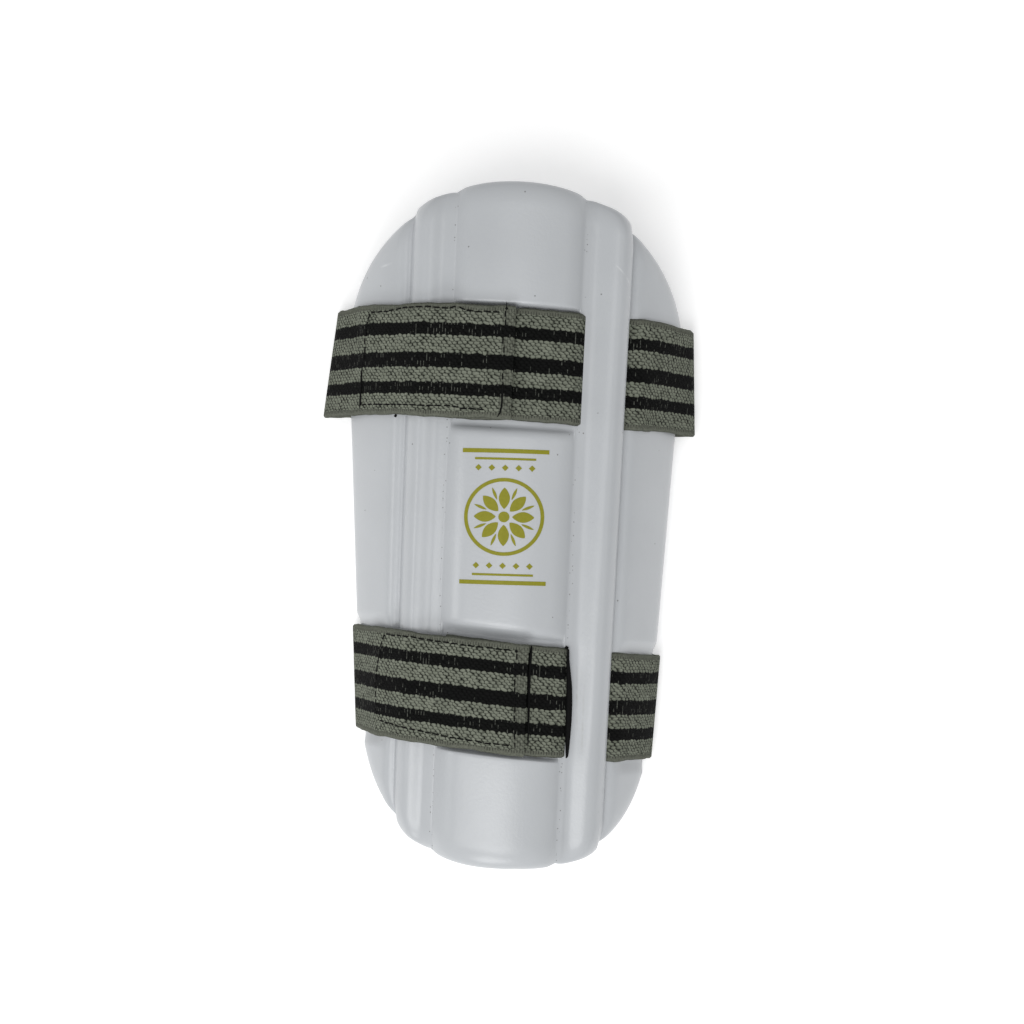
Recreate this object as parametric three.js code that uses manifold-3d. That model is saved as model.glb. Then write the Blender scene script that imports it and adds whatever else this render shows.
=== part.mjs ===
// Cricket arm guard: one moulded foam shell over the forearm, held by two striped elastic straps.
// Millimetres. X runs across the arm, +Y towards the elbow, +Z up out of the padded face.
// The guard lies face up, and the backs of its own straps are its lowest surface.

import * as THREE from 'three';
import { mergeVertices } from 'three/addons/utils/BufferGeometryUtils.js';
import Module from 'manifold-3d';

const wasm = await Module();
wasm.setup();

const DEGREE = Math.PI / 180;

// Shell
const LENGTH = 246;
const WRIST_RADIUS = 54.9;
const ELBOW_RADIUS = 70.3;
const WRAP_HALF_ANGLE = 70 * DEGREE;
const WRIST_END_ROUND = 56;
const ELBOW_END_ROUND = 55;
const ELBOW_END_FULLNESS = 2.1;
const WRIST_END_FULLNESS = 2.6;
const WRIST_END_LEAN = 5.5;
const RIB_OVERHANG = 2;
const FLOOR_THICKNESS = 5.5;
const EDGE_THICKNESS = 3;
const EDGE_ROUND = 9;
const EDGE_RELIEF_SHARE = 0.4;
const BAND_SKEW = 1.1 * DEGREE;

// Bands of the shell's face, with heights above the floor of the valleys between them
const PANEL_HALF_WIDTH = 22.3;
const PANEL_FLAT_HALF_WIDTH = 13;
const PANEL_CREST = 2.6;
const PANEL_LIP = 0.8;
const PANEL_LIP_WIDTH = 0.5;
const RIGHT_BAND = { strip: 4.6, rib: 17.6, crest: 5.5 };
const LEFT_BAND = { strip: 5.8, rib: 13.7, crest: 5 };
const RIB_CREST_SHARE = 0.62;
const FLANGE_HEIGHT = 3;
const FLANGE_RISE = 5;
const STRIP_NOTCH = 0.9;
const NOTCH_REACH = 4.5;
const OVERHANG_BLEND = 2.4;

// Straps and what they lie in
const STRAP_WIDTH = 40;
const STRAP_THICKNESS = 1.3;
const HEM_LENGTH = 4.4;
const PATCH_WIDTH = 36;
const PATCH_THICKNESS = 1.2;
const SEAT_CLEARANCE = 0.35;
const SLIT_CLEARANCE = 0.3;
const SLIT_SIDE_CLEARANCE = 0.6;
const CHANNEL_FLOOR = 0.9;
const CHANNEL_SIDE_CLEARANCE = 1.8;
const CHANNEL_WALL_SPREAD = 0.9;
const TUNNEL_DEPTH = 2;
const TAB_END_BAND = -20;
const SLIT_IN = { before: 2.4, after: 5.2 };
const SLIT_OUT = { before: 3.4, after: 8.6 };
const BEND_HEIGHT = 7;

// Each strap: its middle line at the top of the arc, how far it slants, bows towards the wrist and curls
// at its sides, the band where its free end lies, the length of its hook patch, and how far its loop
// stands off the shell's two long edges
const STRAPS = [
  {
    name: 'upper', middle: 58, slant: 1.9 * DEGREE, bow: -1.8, curl: 0.9, freeEnd: -0.6,
    patchLength: 56,
    leftBulge: { elbow: 2.6, wrist: 9.6 }, rightBulge: { elbow: 2.4, wrist: 6.6 },
  },
  {
    name: 'lower', middle: -60.5, slant: 5.2 * DEGREE, bow: 1.6, curl: 3.4, freeEnd: 8.9,
    patchLength: 52.5,
    leftBulge: { elbow: 0, wrist: 0 }, rightBulge: { elbow: 0, wrist: 0 },
  },
];
const LINE_REACH = 80;

// Fineness of the faceted surfaces
const EDGE_SHARES = [0, 0.09, 0.25, 0.47, 0.78, 1];
const PANEL_SHARES = [0.3, 0.58, 0.75, 0.88, 0.96, 1];
const RIB_SHARES = [0, 0.12, 0.25, 0.38, 0.5, 0.62, 0.74, 0.85, 0.94, 1];
const FLANGE_RISE_SHARES = [0.06, 0.25, 0.6, 1];
const MIDDLE_ROWS = 9;
const THREADED_STATIONS = 38;
const FLANGE_STATIONS = 5;
const LOOP_STATIONS = 12;
const LEAD_STATIONS = 26;
const PATCH_STATIONS = 30;
const CHANNEL_STATIONS = 17;
const PASSAGE_STATIONS = 26;
const SUPPORT_STEP = 0.8;
const FINE_STATIONS = 2000;

const SKEW_SLOPE = Math.tan(BAND_SKEW);
const MEAN_RADIUS = (WRIST_RADIUS + ELBOW_RADIUS) / 2;

// Radius of the valley floors at a place along the arm, and height of the arc's axis there
const radiusAt = (y) => MEAN_RADIUS + (ELBOW_RADIUS - WRIST_RADIUS) * y / LENGTH;
const innerRadiusAt = (y) => radiusAt(y) - FLOOR_THICKNESS;
const axisHeightAt = (y) =>
  STRAP_THICKNESS + SEAT_CLEARANCE - innerRadiusAt(y) * Math.cos(WRAP_HALF_ANGLE);

// A point over the arm: the way round the valley floor from the top, the way along, and the radius
function pointAt(around, y, radius) {
  const angle = around / radiusAt(y);
  return new THREE.Vector3(radius * Math.sin(angle), y, axisHeightAt(y) + radius * Math.cos(angle));
}

const bandSide = (band) => (band > 0 ? RIGHT_BAND : LEFT_BAND);
const valleyBand = (side) => PANEL_HALF_WIDTH + side.strip + side.rib;
const bandOf = (around, y) => around - SKEW_SLOPE * y;

// Rib section: a slow rise from the panel to the crest, then a round fall into the outer valley
function ribHeight(share) {
  if (share < RIB_CREST_SHARE) {
    return Math.sin(Math.PI / 2 * share / RIB_CREST_SHARE) ** 2;
  }
  return Math.sqrt(Math.max(0, 1 - ((share - RIB_CREST_SHARE) / (1 - RIB_CREST_SHARE)) ** 2));
}

// Height of the shell's face above the valley floor, across the bands
function reliefAt(band) {
  const side = bandSide(band);
  const pastPanel = Math.abs(band) - PANEL_HALF_WIDTH;
  if (pastPanel <= 0) {
    const pastFlat = Math.max(0, Math.abs(band) - PANEL_FLAT_HALF_WIDTH);
    const fall = pastFlat / (PANEL_HALF_WIDTH - PANEL_FLAT_HALF_WIDTH);
    return PANEL_LIP + (PANEL_CREST - PANEL_LIP) * (1 - fall * fall);
  }
  if (pastPanel < PANEL_LIP_WIDTH) {
    return PANEL_LIP * (1 - pastPanel / PANEL_LIP_WIDTH);
  }
  if (pastPanel < side.strip) {
    return 0;
  }
  const pastStrip = pastPanel - side.strip;
  if (pastStrip <= side.rib) {
    return side.crest * ribHeight(pastStrip / side.rib);
  }
  const rise = Math.min(1, (pastStrip - side.rib) / FLANGE_RISE);
  return FLANGE_HEIGHT * Math.sqrt(1 - (1 - rise) ** 2);
}

// Either end of the flanges: its direction, the length and fullness of its round, and its lean to the right
const ELBOW_END = { direction: 1, round: ELBOW_END_ROUND, fullness: ELBOW_END_FULLNESS, lean: 0 };
const WRIST_END = { direction: -1, round: WRIST_END_ROUND, fullness: WRIST_END_FULLNESS, lean: WRIST_END_LEAN };
const roundStart = (end) => end.direction * (LENGTH / 2 - RIB_OVERHANG - end.round);

// The two long edges of the shell at a place along the arm, as angles from the top: the full wrap in the
// middle, closing in a superellipse at both ends
function outlineAngles(y) {
  const end = y > 0 ? ELBOW_END : WRIST_END;
  const past = end.direction * (y - roundStart(end));
  if (past <= 0) {
    return { left: -WRAP_HALF_ANGLE, right: WRAP_HALF_ANGLE };
  }
  const share = Math.min(1, past / end.round);
  const width = (1 - share ** end.fullness) ** (1 / end.fullness);
  const lean = end.lean * share * share / radiusAt(y);
  const half = Math.asin(width * Math.sin(WRAP_HALF_ANGLE));
  return { left: lean - half, right: Math.min(WRAP_HALF_ANGLE, lean + half) };
}

const blend = (share) => {
  const held = Math.min(1, Math.max(0, share));
  return held * held * (3 - 2 * held);
};

// The ribs and the panel run out past the flanges, with a small step back at each strip
function overhangAt(band) {
  const side = bandSide(band);
  const pastValley = Math.abs(band) - valleyBand(side);
  const fromStrip = Math.abs(Math.abs(band) - PANEL_HALF_WIDTH - side.strip / 2);
  const notch = STRIP_NOTCH * Math.max(0, 1 - fromStrip / NOTCH_REACH) ** 2;
  return RIB_OVERHANG * blend(0.5 - pastValley / OVERHANG_BLEND) - notch;
}

// Columns of the shell's grid. Those of the panel and the ribs keep their band, and those of a flange
// spread out from the outer valley to the long edge.
function shellColumns() {
  const half = (sign, side) => {
    const ribStart = PANEL_HALF_WIDTH + side.strip;
    const bands = [
      ...PANEL_SHARES.map((share) => share * PANEL_HALF_WIDTH),
      PANEL_HALF_WIDTH + PANEL_LIP_WIDTH,
      ...RIB_SHARES.map((share) => ribStart + share * side.rib),
    ];
    const flangeWidth = WRAP_HALF_ANGLE * MEAN_RADIUS - valleyBand(side);
    const roundStart = 1 - EDGE_ROUND / flangeWidth;
    const riseEnd = FLANGE_RISE / flangeWidth;
    const shares = [
      ...FLANGE_RISE_SHARES.map((share) => share * riseEnd),
      (riseEnd + roundStart) / 2,
      ...EDGE_SHARES.map((share) => 1 - share * EDGE_ROUND / flangeWidth).reverse(),
    ];
    return [
      ...bands.map((band) => ({ sign, band: sign * band, share: 0 })),
      ...shares.map((share) => ({ sign, band: sign * valleyBand(side), share })),
    ];
  };
  return [...half(-1, LEFT_BAND).reverse(), { sign: 1, band: 0, share: 0 }, ...half(1, RIGHT_BAND)];
}

function columnAngle(column, y) {
  const bandAngle = (column.band + SKEW_SLOPE * y) / radiusAt(y);
  return bandAngle + (column.sign * WRAP_HALF_ANGLE - bandAngle) * column.share;
}

// Where a column runs out at one end of the shell
function columnEnd(column, end) {
  if (column.share === 1) {
    return roundStart(end);
  }
  let inside = 0;
  let outside = end.direction * (LENGTH / 2 - RIB_OVERHANG);
  for (let step = 0; step < 40; step += 1) {
    const middle = (inside + outside) / 2;
    const angle = columnAngle(column, middle);
    const edges = outlineAngles(middle);
    if (angle > edges.left && angle < edges.right) {
      inside = middle;
    } else {
      outside = middle;
    }
  }
  const band = bandOf(columnAngle(column, inside) * radiusAt(inside), inside);
  return inside + end.direction * overhangAt(band);
}

function distanceToSegment(x, y, from, to) {
  const dx = to.x - from.x;
  const dy = to.y - from.y;
  const share = ((x - from.x) * dx + (y - from.y) * dy) / (dx * dx + dy * dy);
  const held = Math.min(1, Math.max(0, share));
  return Math.hypot(x - from.x - held * dx, y - from.y - held * dy);
}

// Positions along one column, close together at the rounded ends
function columnRows(low, high) {
  const insets = EDGE_SHARES.map((share) => share * EDGE_ROUND);
  const rows = insets.map((inset) => low + inset);
  const start = low + EDGE_ROUND;
  const end = high - EDGE_ROUND;
  for (let row = 1; row < MIDDLE_ROWS; row += 1) {
    rows.push(start + (end - start) * row / MIDDLE_ROWS);
  }
  return [...rows, ...insets.reverse().map((inset) => high - inset)];
}

function solidGeometry(points, triangles) {
  const geometry = new THREE.BufferGeometry();
  const numbers = points.flatMap((point) => point.toArray());
  geometry.setAttribute('position', new THREE.Float32BufferAttribute(numbers, 3));
  geometry.setIndex(triangles);
  return geometry;
}

// The moulding before anything is cut in it: a grid of face points, the same grid on the arm side,
// and a wall round the outline between them
function shellBlank() {
  const columns = shellColumns();
  const ends = columns.map((column) => ({
    low: columnEnd(column, WRIST_END),
    high: columnEnd(column, ELBOW_END),
  }));
  const flat = (column, y) => ({ x: columnAngle(column, y) * radiusAt(y), y });
  const outline = [
    ...columns.map((column, index) => flat(column, ends[index].low)),
    ...columns.map((column, index) => flat(column, ends[index].high)).reverse(),
  ];
  const sides = outline.map((from, index) => [from, outline[(index + 1) % outline.length]]);
  const outlineDistance = (x, y) => Math.min(...sides.map(([from, to]) => distanceToSegment(x, y, from, to)));

  const rowCount = 2 * EDGE_SHARES.length + MIDDLE_ROWS - 1;
  const face = [];
  const back = [];
  columns.forEach((column, index) => {
    for (const y of columnRows(ends[index].low, ends[index].high)) {
      const around = columnAngle(column, y) * radiusAt(y);
      const relief = reliefAt(bandOf(around, y));
      const edge = EDGE_THICKNESS + EDGE_RELIEF_SHARE * relief;
      const depth = Math.min(1, outlineDistance(around, y) / EDGE_ROUND);
      const thickness = edge + (FLOOR_THICKNESS + relief - edge) * Math.sqrt(1 - (1 - depth) ** 2);
      face.push(pointAt(around, y, innerRadiusAt(y) + thickness));
      back.push(pointAt(around, y, innerRadiusAt(y)));
    }
  });

  const triangles = [];
  const quad = (a, b, c, d) => triangles.push(a, b, c, a, c, d);
  const faceAt = (column, row) => column * rowCount + row;
  const backAt = (column, row) => face.length + faceAt(column, row);
  const right = columns.length - 1;
  const top = rowCount - 1;
  for (let column = 0; column < right; column += 1) {
    const next = column + 1;
    for (let row = 0; row < top; row += 1) {
      quad(faceAt(column, row), faceAt(next, row), faceAt(next, row + 1), faceAt(column, row + 1));
      quad(backAt(column, row), backAt(column, row + 1), backAt(next, row + 1), backAt(next, row));
    }
    quad(backAt(column, 0), backAt(next, 0), faceAt(next, 0), faceAt(column, 0));
    quad(faceAt(column, top), faceAt(next, top), backAt(next, top), backAt(column, top));
  }
  for (let row = 0; row < top; row += 1) {
    quad(backAt(0, row + 1), backAt(0, row), faceAt(0, row), faceAt(0, row + 1));
    quad(faceAt(right, row + 1), faceAt(right, row), backAt(right, row), backAt(right, row + 1));
  }
  return solidGeometry([...face, ...back], triangles);
}

// A strip of material lofted through flat rings, each going across it on one side and back on the other
function loftRings(rings) {
  const size = rings[0].length;
  const triangles = [];
  const quad = (a, b, c, d) => triangles.push(a, b, c, a, c, d);
  for (let ring = 0; ring < rings.length - 1; ring += 1) {
    for (let corner = 0; corner < size; corner += 1) {
      const here = size * ring;
      const next = (corner + 1) % size;
      quad(here + corner, here + next, here + size + next, here + size + corner);
    }
  }
  const last = size * (rings.length - 1);
  for (let corner = 0; corner < size / 2 - 1; corner += 1) {
    const across = size - 1 - corner;
    quad(across, across - 1, corner + 1, corner);
    quad(last + corner, last + corner + 1, last + across - 1, last + across);
  }
  return solidGeometry(rings.flat(), triangles);
}

// Rings of a ribbon from lines along its inner face, thickened in the plane across the arm
function ribbonRings(lines, innerOffset, outerOffset) {
  const offset = (line, index, distance) => {
    const before = line[Math.max(0, index - 1)];
    const after = line[Math.min(line.length - 1, index + 1)];
    const run = Math.hypot(after.x - before.x, after.z - before.z);
    const outward = new THREE.Vector3(-(after.z - before.z) / run, 0, (after.x - before.x) / run);
    return line[index].clone().addScaledVector(outward, distance);
  };
  return lines[0].map((_, index) => [
    ...lines.map((line) => offset(line, index, innerOffset(index))),
    ...lines.map((line) => offset(line, index, outerOffset)).reverse(),
  ]);
}

// Place along the arm of a line of the strap, so far from its middle line and so far round the arc
function strapLine(strap, across, around) {
  const share = around / LINE_REACH;
  const bend = strap.curl * share ** 3 - strap.bow * share ** 2;
  return strap.middle + across - Math.tan(strap.slant) * around + bend;
}

const aroundOf = (strap, across, band) => band + SKEW_SLOPE * strapLine(strap, across, band);

// Height of the inner face of the threaded stretch: flat in the channel, down through the slit, under the
// right rib, up in the outer valley and out over the flange
const TAB_HEIGHT = CHANNEL_FLOOR + SEAT_CLEARANCE;
const FLANGE_SEAT = FLANGE_HEIGHT + SEAT_CLEARANCE;
const SLIT_IN_START = PANEL_HALF_WIDTH - SLIT_IN.before;
const SLIT_IN_END = PANEL_HALF_WIDTH + SLIT_IN.after;
const SLIT_OUT_START = valleyBand(RIGHT_BAND) - SLIT_OUT.before;
const SLIT_OUT_END = valleyBand(RIGHT_BAND) + SLIT_OUT.after;

function threadedHeight(band) {
  const sink = blend((band - SLIT_IN_START) / (SLIT_IN_END - SLIT_IN_START));
  const rise = blend((band - SLIT_OUT_START) / (SLIT_OUT_END - SLIT_OUT_START));
  return TAB_HEIGHT - (TAB_HEIGHT + TUNNEL_DEPTH) * sink + (FLANGE_SEAT + TUNNEL_DEPTH) * rise;
}

// Points over the shell at a height given by band, in even steps round the arc
function overShell(strap, across, from, to, count, height) {
  const points = [];
  for (let index = 0; index < count; index += 1) {
    const around = from + (to - from) * index / (count - 1);
    const y = strapLine(strap, across, around);
    points.push(pointAt(around, y, radiusAt(y) + height(bandOf(around, y))));
  }
  return points;
}

// Even stations along a polyline
function resample(points, count) {
  const along = [0];
  for (let index = 1; index < points.length; index += 1) {
    along.push(along[index - 1] + points[index].distanceTo(points[index - 1]));
  }
  const stations = [];
  let segment = 1;
  for (let index = 0; index < count; index += 1) {
    const target = along[along.length - 1] * index / (count - 1);
    while (segment < points.length - 1 && along[segment] < target) {
      segment += 1;
    }
    const share = (target - along[segment - 1]) / (along[segment] - along[segment - 1]);
    stations.push(points[segment - 1].clone().lerp(points[segment], share));
  }
  return stations;
}

// Corners cut off twice, so that a line of knots bends like cloth
function softened(points) {
  let line = points;
  for (let pass = 0; pass < 2; pass += 1) {
    const cut = [line[0]];
    for (let index = 0; index < line.length - 1; index += 1) {
      cut.push(line[index].clone().lerp(line[index + 1], 0.25));
      cut.push(line[index].clone().lerp(line[index + 1], 0.75));
    }
    cut.push(line[line.length - 1]);
    line = cut;
  }
  return line;
}

// Half width of the shell at its long edges, face included
function shellReach(y) {
  const edge = EDGE_THICKNESS + EDGE_RELIEF_SHARE * FLANGE_HEIGHT;
  let reach = 0;
  for (let distance = 0; distance <= EDGE_ROUND; distance += EDGE_ROUND / 24) {
    const lift = Math.sqrt(1 - (1 - distance / EDGE_ROUND) ** 2);
    const radius = innerRadiusAt(y) + edge + (FLOOR_THICKNESS + FLANGE_HEIGHT - edge) * lift;
    reach = Math.max(reach, radius * Math.sin(WRAP_HALF_ANGLE - distance / radiusAt(y)));
  }
  return reach;
}

// How far round the arc a loop leaves the flange, to reach its half width at the height of its bend
function leaveAround(y, seat, halfWidth) {
  const radius = radiusAt(y) + seat;
  let low = 30 * DEGREE;
  let high = WRAP_HALF_ANGLE;
  for (let step = 0; step < 40; step += 1) {
    const angle = (low + high) / 2;
    const drop = axisHeightAt(y) + radius * Math.cos(angle) - BEND_HEIGHT;
    if (radius * Math.sin(angle) + drop / Math.tan(angle) > halfWidth) {
      low = angle;
    } else {
      high = angle;
    }
  }
  return low * radiusAt(y);
}

// Where one side of the loop leaves the flange and how wide it stands, along one line of the strap
function loopEnd(strap, across, sign, seat) {
  const bulge = sign > 0 ? strap.rightBulge : strap.leftBulge;
  const share = across / STRAP_WIDTH + 0.5;
  const y = strapLine(strap, across, sign * LINE_REACH);
  const halfWidth = shellReach(y) + SEAT_CLEARANCE + bulge.wrist + (bulge.elbow - bulge.wrist) * share;
  return { seat, halfWidth, leave: leaveAround(y, seat, halfWidth) };
}

// One side of the loop, from the flange down to the resting surface
function loopSide(strap, across, sign, end) {
  const sideLine = (around) => strapLine(strap, across, sign * around);
  const first = pointAt(sign * end.leave, sideLine(end.leave), radiusAt(sideLine(end.leave)) + end.seat);
  const knots = [
    { inset: 0, lift: 1, share: 0.4 },
    { inset: 0.06, lift: 0.36, share: 0.7 },
    { inset: 0.43, lift: 0, share: 0.9 },
    { inset: 1.3, lift: 0, share: 1 },
  ];
  const points = knots.map((knot) => new THREE.Vector3(
    sign * (end.halfWidth - knot.inset * BEND_HEIGHT),
    sideLine(end.leave + (LINE_REACH - end.leave) * knot.share),
    STRAP_THICKNESS + knot.lift * (BEND_HEIGHT - STRAP_THICKNESS),
  ));
  return softened([first, ...points]);
}

// The line that a taut strip takes over bumps: the convex hull of what it lies on
function taut(points) {
  const hull = [];
  for (const point of points) {
    while (hull.length > 1) {
      const a = hull[hull.length - 2];
      const b = hull[hull.length - 1];
      if ((b.x - a.x) * (point.z - a.z) - (b.z - a.z) * (point.x - a.x) < 0) {
        break;
      }
      hull.pop();
    }
    hull.push(point);
  }
  return hull;
}

const patchEndBand = (strap) => strap.freeEnd - HEM_LENGTH;
const patchStartBand = (strap) => patchEndBand(strap) - strap.patchLength;
const PATCH_STACK = PATCH_THICKNESS + SEAT_CLEARANCE;

// What the free stretch lies on: the shell's face, or the channel with the tab lying in it, and over
// most of its length the hook patch sewn under it
function seatHeight(strap, band) {
  const patch = band > patchStartBand(strap) - SEAT_CLEARANCE ? PATCH_STACK : 0;
  if (band > TAB_END_BAND - SEAT_CLEARANCE) {
    return TAB_HEIGHT + STRAP_THICKNESS + SEAT_CLEARANCE + patch;
  }
  if (band > -PANEL_HALF_WIDTH) {
    return TAB_HEIGHT + patch;
  }
  return reliefAt(band) + SEAT_CLEARANCE + patch;
}

// The free stretch over the left flange and rib, pulled taut
function tautLine(strap, across, leave) {
  const end = aroundOf(strap, across, strap.freeEnd);
  const count = Math.ceil((end + leave) / SUPPORT_STEP);
  return taut(overShell(strap, across, -leave, end, count, (band) => seatHeight(strap, band)));
}

// The left side of the loop and the free stretch, along one line of the strap
function leftLine(strap, across) {
  const bare = loopEnd(strap, across, -1, FLANGE_SEAT);
  const reachesPatch = patchStartBand(strap) < bandOf(-bare.leave, strapLine(strap, across, -bare.leave));
  const end = reachesPatch ? loopEnd(strap, across, -1, FLANGE_SEAT + PATCH_STACK) : bare;
  const up = loopSide(strap, across, -1, end).reverse();
  return [...up, ...tautLine(strap, across, end.leave).slice(1)];
}

// The threaded stretch and the right side of the loop, along one line of the strap
function rightLine(strap, across) {
  const end = loopEnd(strap, across, 1, FLANGE_SEAT);
  const tabEnd = aroundOf(strap, across, TAB_END_BAND);
  const slitEnd = aroundOf(strap, across, SLIT_OUT_END);
  end.leave = Math.max(end.leave, slitEnd + SEAT_CLEARANCE);
  return [
    ...overShell(strap, across, tabEnd, slitEnd, THREADED_STATIONS, threadedHeight),
    ...overShell(strap, across, slitEnd, end.leave, FLANGE_STATIONS, threadedHeight).slice(1),
    ...resample(loopSide(strap, across, 1, end), LOOP_STATIONS).slice(1),
  ];
}

const lengthOf = (line) =>
  line.slice(1).reduce((total, point, index) => total + point.distanceTo(line[index]), 0);

// A stretch of a line, between two distances from its end
function stretchFromEnd(line, near, far, count) {
  const fine = resample(line, FINE_STATIONS);
  const step = lengthOf(line) / (fine.length - 1);
  const last = fine.length - 1;
  const from = Math.max(0, last - Math.round(far / step));
  return resample(fine.slice(from, last - Math.round(near / step) + 1), count);
}

// Lines along both edges and the middle of a strap, from the hidden end of its tab to its free end, in
// stretches: the threaded one and the loop, the one with the hook tape under it, and the hem
function strapLines(strap) {
  const hookStart = HEM_LENGTH + SEAT_CLEARANCE;
  const hookEnd = hookStart + strap.patchLength;
  return [-STRAP_WIDTH / 2, 0, STRAP_WIDTH / 2].map((across) => {
    const left = leftLine(strap, across);
    const lead = stretchFromEnd(left, hookEnd, lengthOf(left), LEAD_STATIONS);
    const hooked = stretchFromEnd(left, hookStart, hookEnd, PATCH_STATIONS);
    const hem = stretchFromEnd(left, 0, HEM_LENGTH, 3);
    const fold = hem[0].clone().lerp(hem[1], 0.03);
    return { looped: [...rightLine(strap, across), ...lead], hooked, hem: [hem[0], fold, hem[1], hem[2]] };
  });
}

// The hem folded under the free end doubles the strap there
function strapGeometry(strap) {
  const lines = strapLines(strap).map((line) => [...line.looped, ...line.hooked.slice(1), ...line.hem]);
  const hemFrom = lines[0].length - 3;
  const inner = (index) => (index >= hemFrom ? -STRAP_THICKNESS : 0);
  return loftRings(ribbonRings(lines, inner, STRAP_THICKNESS));
}

// The hook tape is narrower than the strap that it is sewn to
function patchGeometry(strap) {
  const [wristLine, middleLine, elbowLine] = strapLines(strap).map((line) => line.hooked);
  const margin = (STRAP_WIDTH - PATCH_WIDTH) / STRAP_WIDTH;
  const inset = (line) => line.map((point, index) => point.clone().lerp(middleLine[index], margin));
  const lines = [inset(wristLine), middleLine, inset(elbowLine)];
  return loftRings(ribbonRings(lines, () => -PATCH_STACK, -SEAT_CLEARANCE));
}

// The shallow channel that a strap lies in, across the panel
function channelCutter(strap) {
  const half = STRAP_WIDTH / 2 + CHANNEL_SIDE_CLEARANCE;
  const reach = PANEL_HALF_WIDTH + (PANEL_LIP_WIDTH + LEFT_BAND.strip) / 2;
  const rings = [];
  for (let station = 0; station < CHANNEL_STATIONS; station += 1) {
    const around = SKEW_SLOPE * strap.middle - reach + 2 * reach * station / (CHANNEL_STATIONS - 1);
    const corner = (across, height) => {
      const y = strapLine(strap, across, around);
      return pointAt(around, y, radiusAt(y) + height);
    };
    rings.push([
      corner(-half, CHANNEL_FLOOR),
      corner(half, CHANNEL_FLOOR),
      corner(half + 2 * CHANNEL_WALL_SPREAD, CHANNEL_FLOOR + 2 * PANEL_CREST),
      corner(-half - 2 * CHANNEL_WALL_SPREAD, CHANNEL_FLOOR + 2 * PANEL_CREST),
    ]);
  }
  return loftRings(rings);
}

// The slit and the passage under the right rib that a strap is threaded through
function passageCutter(strap) {
  const half = STRAP_WIDTH / 2 + SLIT_SIDE_CLEARANCE;
  const from = SLIT_IN_START - SLIT_SIDE_CLEARANCE;
  const to = SLIT_OUT_END + SLIT_SIDE_CLEARANCE;
  const lines = [-half, half].map((across) => overShell(
    strap,
    across,
    aroundOf(strap, across, from),
    aroundOf(strap, across, to),
    PASSAGE_STATIONS,
    threadedHeight,
  ));
  return loftRings(ribbonRings(lines, () => -SLIT_CLEARANCE, STRAP_THICKNESS + SLIT_CLEARANCE));
}

function toSolid(geometry) {
  const merged = mergeVertices(geometry, 1e-5);
  return new wasm.Manifold(new wasm.Mesh({
    numProp: 3,
    vertProperties: new Float32Array(merged.attributes.position.array),
    triVerts: new Uint32Array(merged.index.array),
  }));
}

function fromSolid(solid) {
  const mesh = solid.getMesh();
  const geometry = new THREE.BufferGeometry();
  geometry.setAttribute('position', new THREE.BufferAttribute(new Float32Array(mesh.vertProperties), 3));
  geometry.setIndex(Array.from(mesh.triVerts));
  return geometry;
}

// The shell with its channels and passages cut
function shellGeometry() {
  const cutters = STRAPS.flatMap((strap) => [channelCutter(strap), passageCutter(strap)]);
  return fromSolid(cutters.reduce((solid, cutter) => solid.subtract(toSolid(cutter)), toSolid(shellBlank())));
}

const foam = new THREE.MeshStandardMaterial({ color: 0xd6dadd, roughness: 0.42, metalness: 0 });
const elastic = new THREE.MeshStandardMaterial({ color: 0x62665b, roughness: 0.9, metalness: 0 });
const hookTape = new THREE.MeshStandardMaterial({ color: 0x202120, roughness: 0.8, metalness: 0 });

const group = new THREE.Group();

function addPiece(name, geometry, material) {
  const piece = new THREE.Mesh(geometry, material);
  piece.name = name;
  group.add(piece);
}

addPiece('moulded_shell', shellGeometry(), foam);
for (const strap of STRAPS) {
  addPiece(`${strap.name}_strap`, strapGeometry(strap), elastic);
  addPiece(`${strap.name}_hook_patch`, patchGeometry(strap), hookTape);
}

// The origin is under the middle of the guard, on the surface it rests on
const bounds = new THREE.Box3().setFromObject(group);
const middle = bounds.getCenter(new THREE.Vector3());
group.position.set(-middle.x, -middle.y, -bounds.min.z);

export default group;
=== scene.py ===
"""Cricket arm guard: moulded foam shell, two threaded elastic straps and their hook patches."""

import math

import bpy
import numpy as np
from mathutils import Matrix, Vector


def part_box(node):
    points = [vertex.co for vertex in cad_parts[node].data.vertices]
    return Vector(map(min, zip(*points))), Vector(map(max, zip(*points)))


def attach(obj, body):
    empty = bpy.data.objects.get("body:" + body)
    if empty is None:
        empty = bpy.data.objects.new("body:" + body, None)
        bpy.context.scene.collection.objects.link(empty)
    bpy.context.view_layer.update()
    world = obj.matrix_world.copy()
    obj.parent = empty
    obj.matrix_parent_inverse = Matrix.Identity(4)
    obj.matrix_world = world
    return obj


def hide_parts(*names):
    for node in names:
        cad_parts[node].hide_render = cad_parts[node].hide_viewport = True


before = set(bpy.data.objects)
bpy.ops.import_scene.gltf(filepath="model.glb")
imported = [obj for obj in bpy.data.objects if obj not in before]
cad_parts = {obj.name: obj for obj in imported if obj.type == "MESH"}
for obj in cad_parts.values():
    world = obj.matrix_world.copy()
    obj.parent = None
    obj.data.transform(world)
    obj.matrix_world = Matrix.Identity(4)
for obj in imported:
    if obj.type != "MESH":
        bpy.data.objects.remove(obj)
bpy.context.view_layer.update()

MM = 0.001
DEGREE = math.pi / 180

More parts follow.
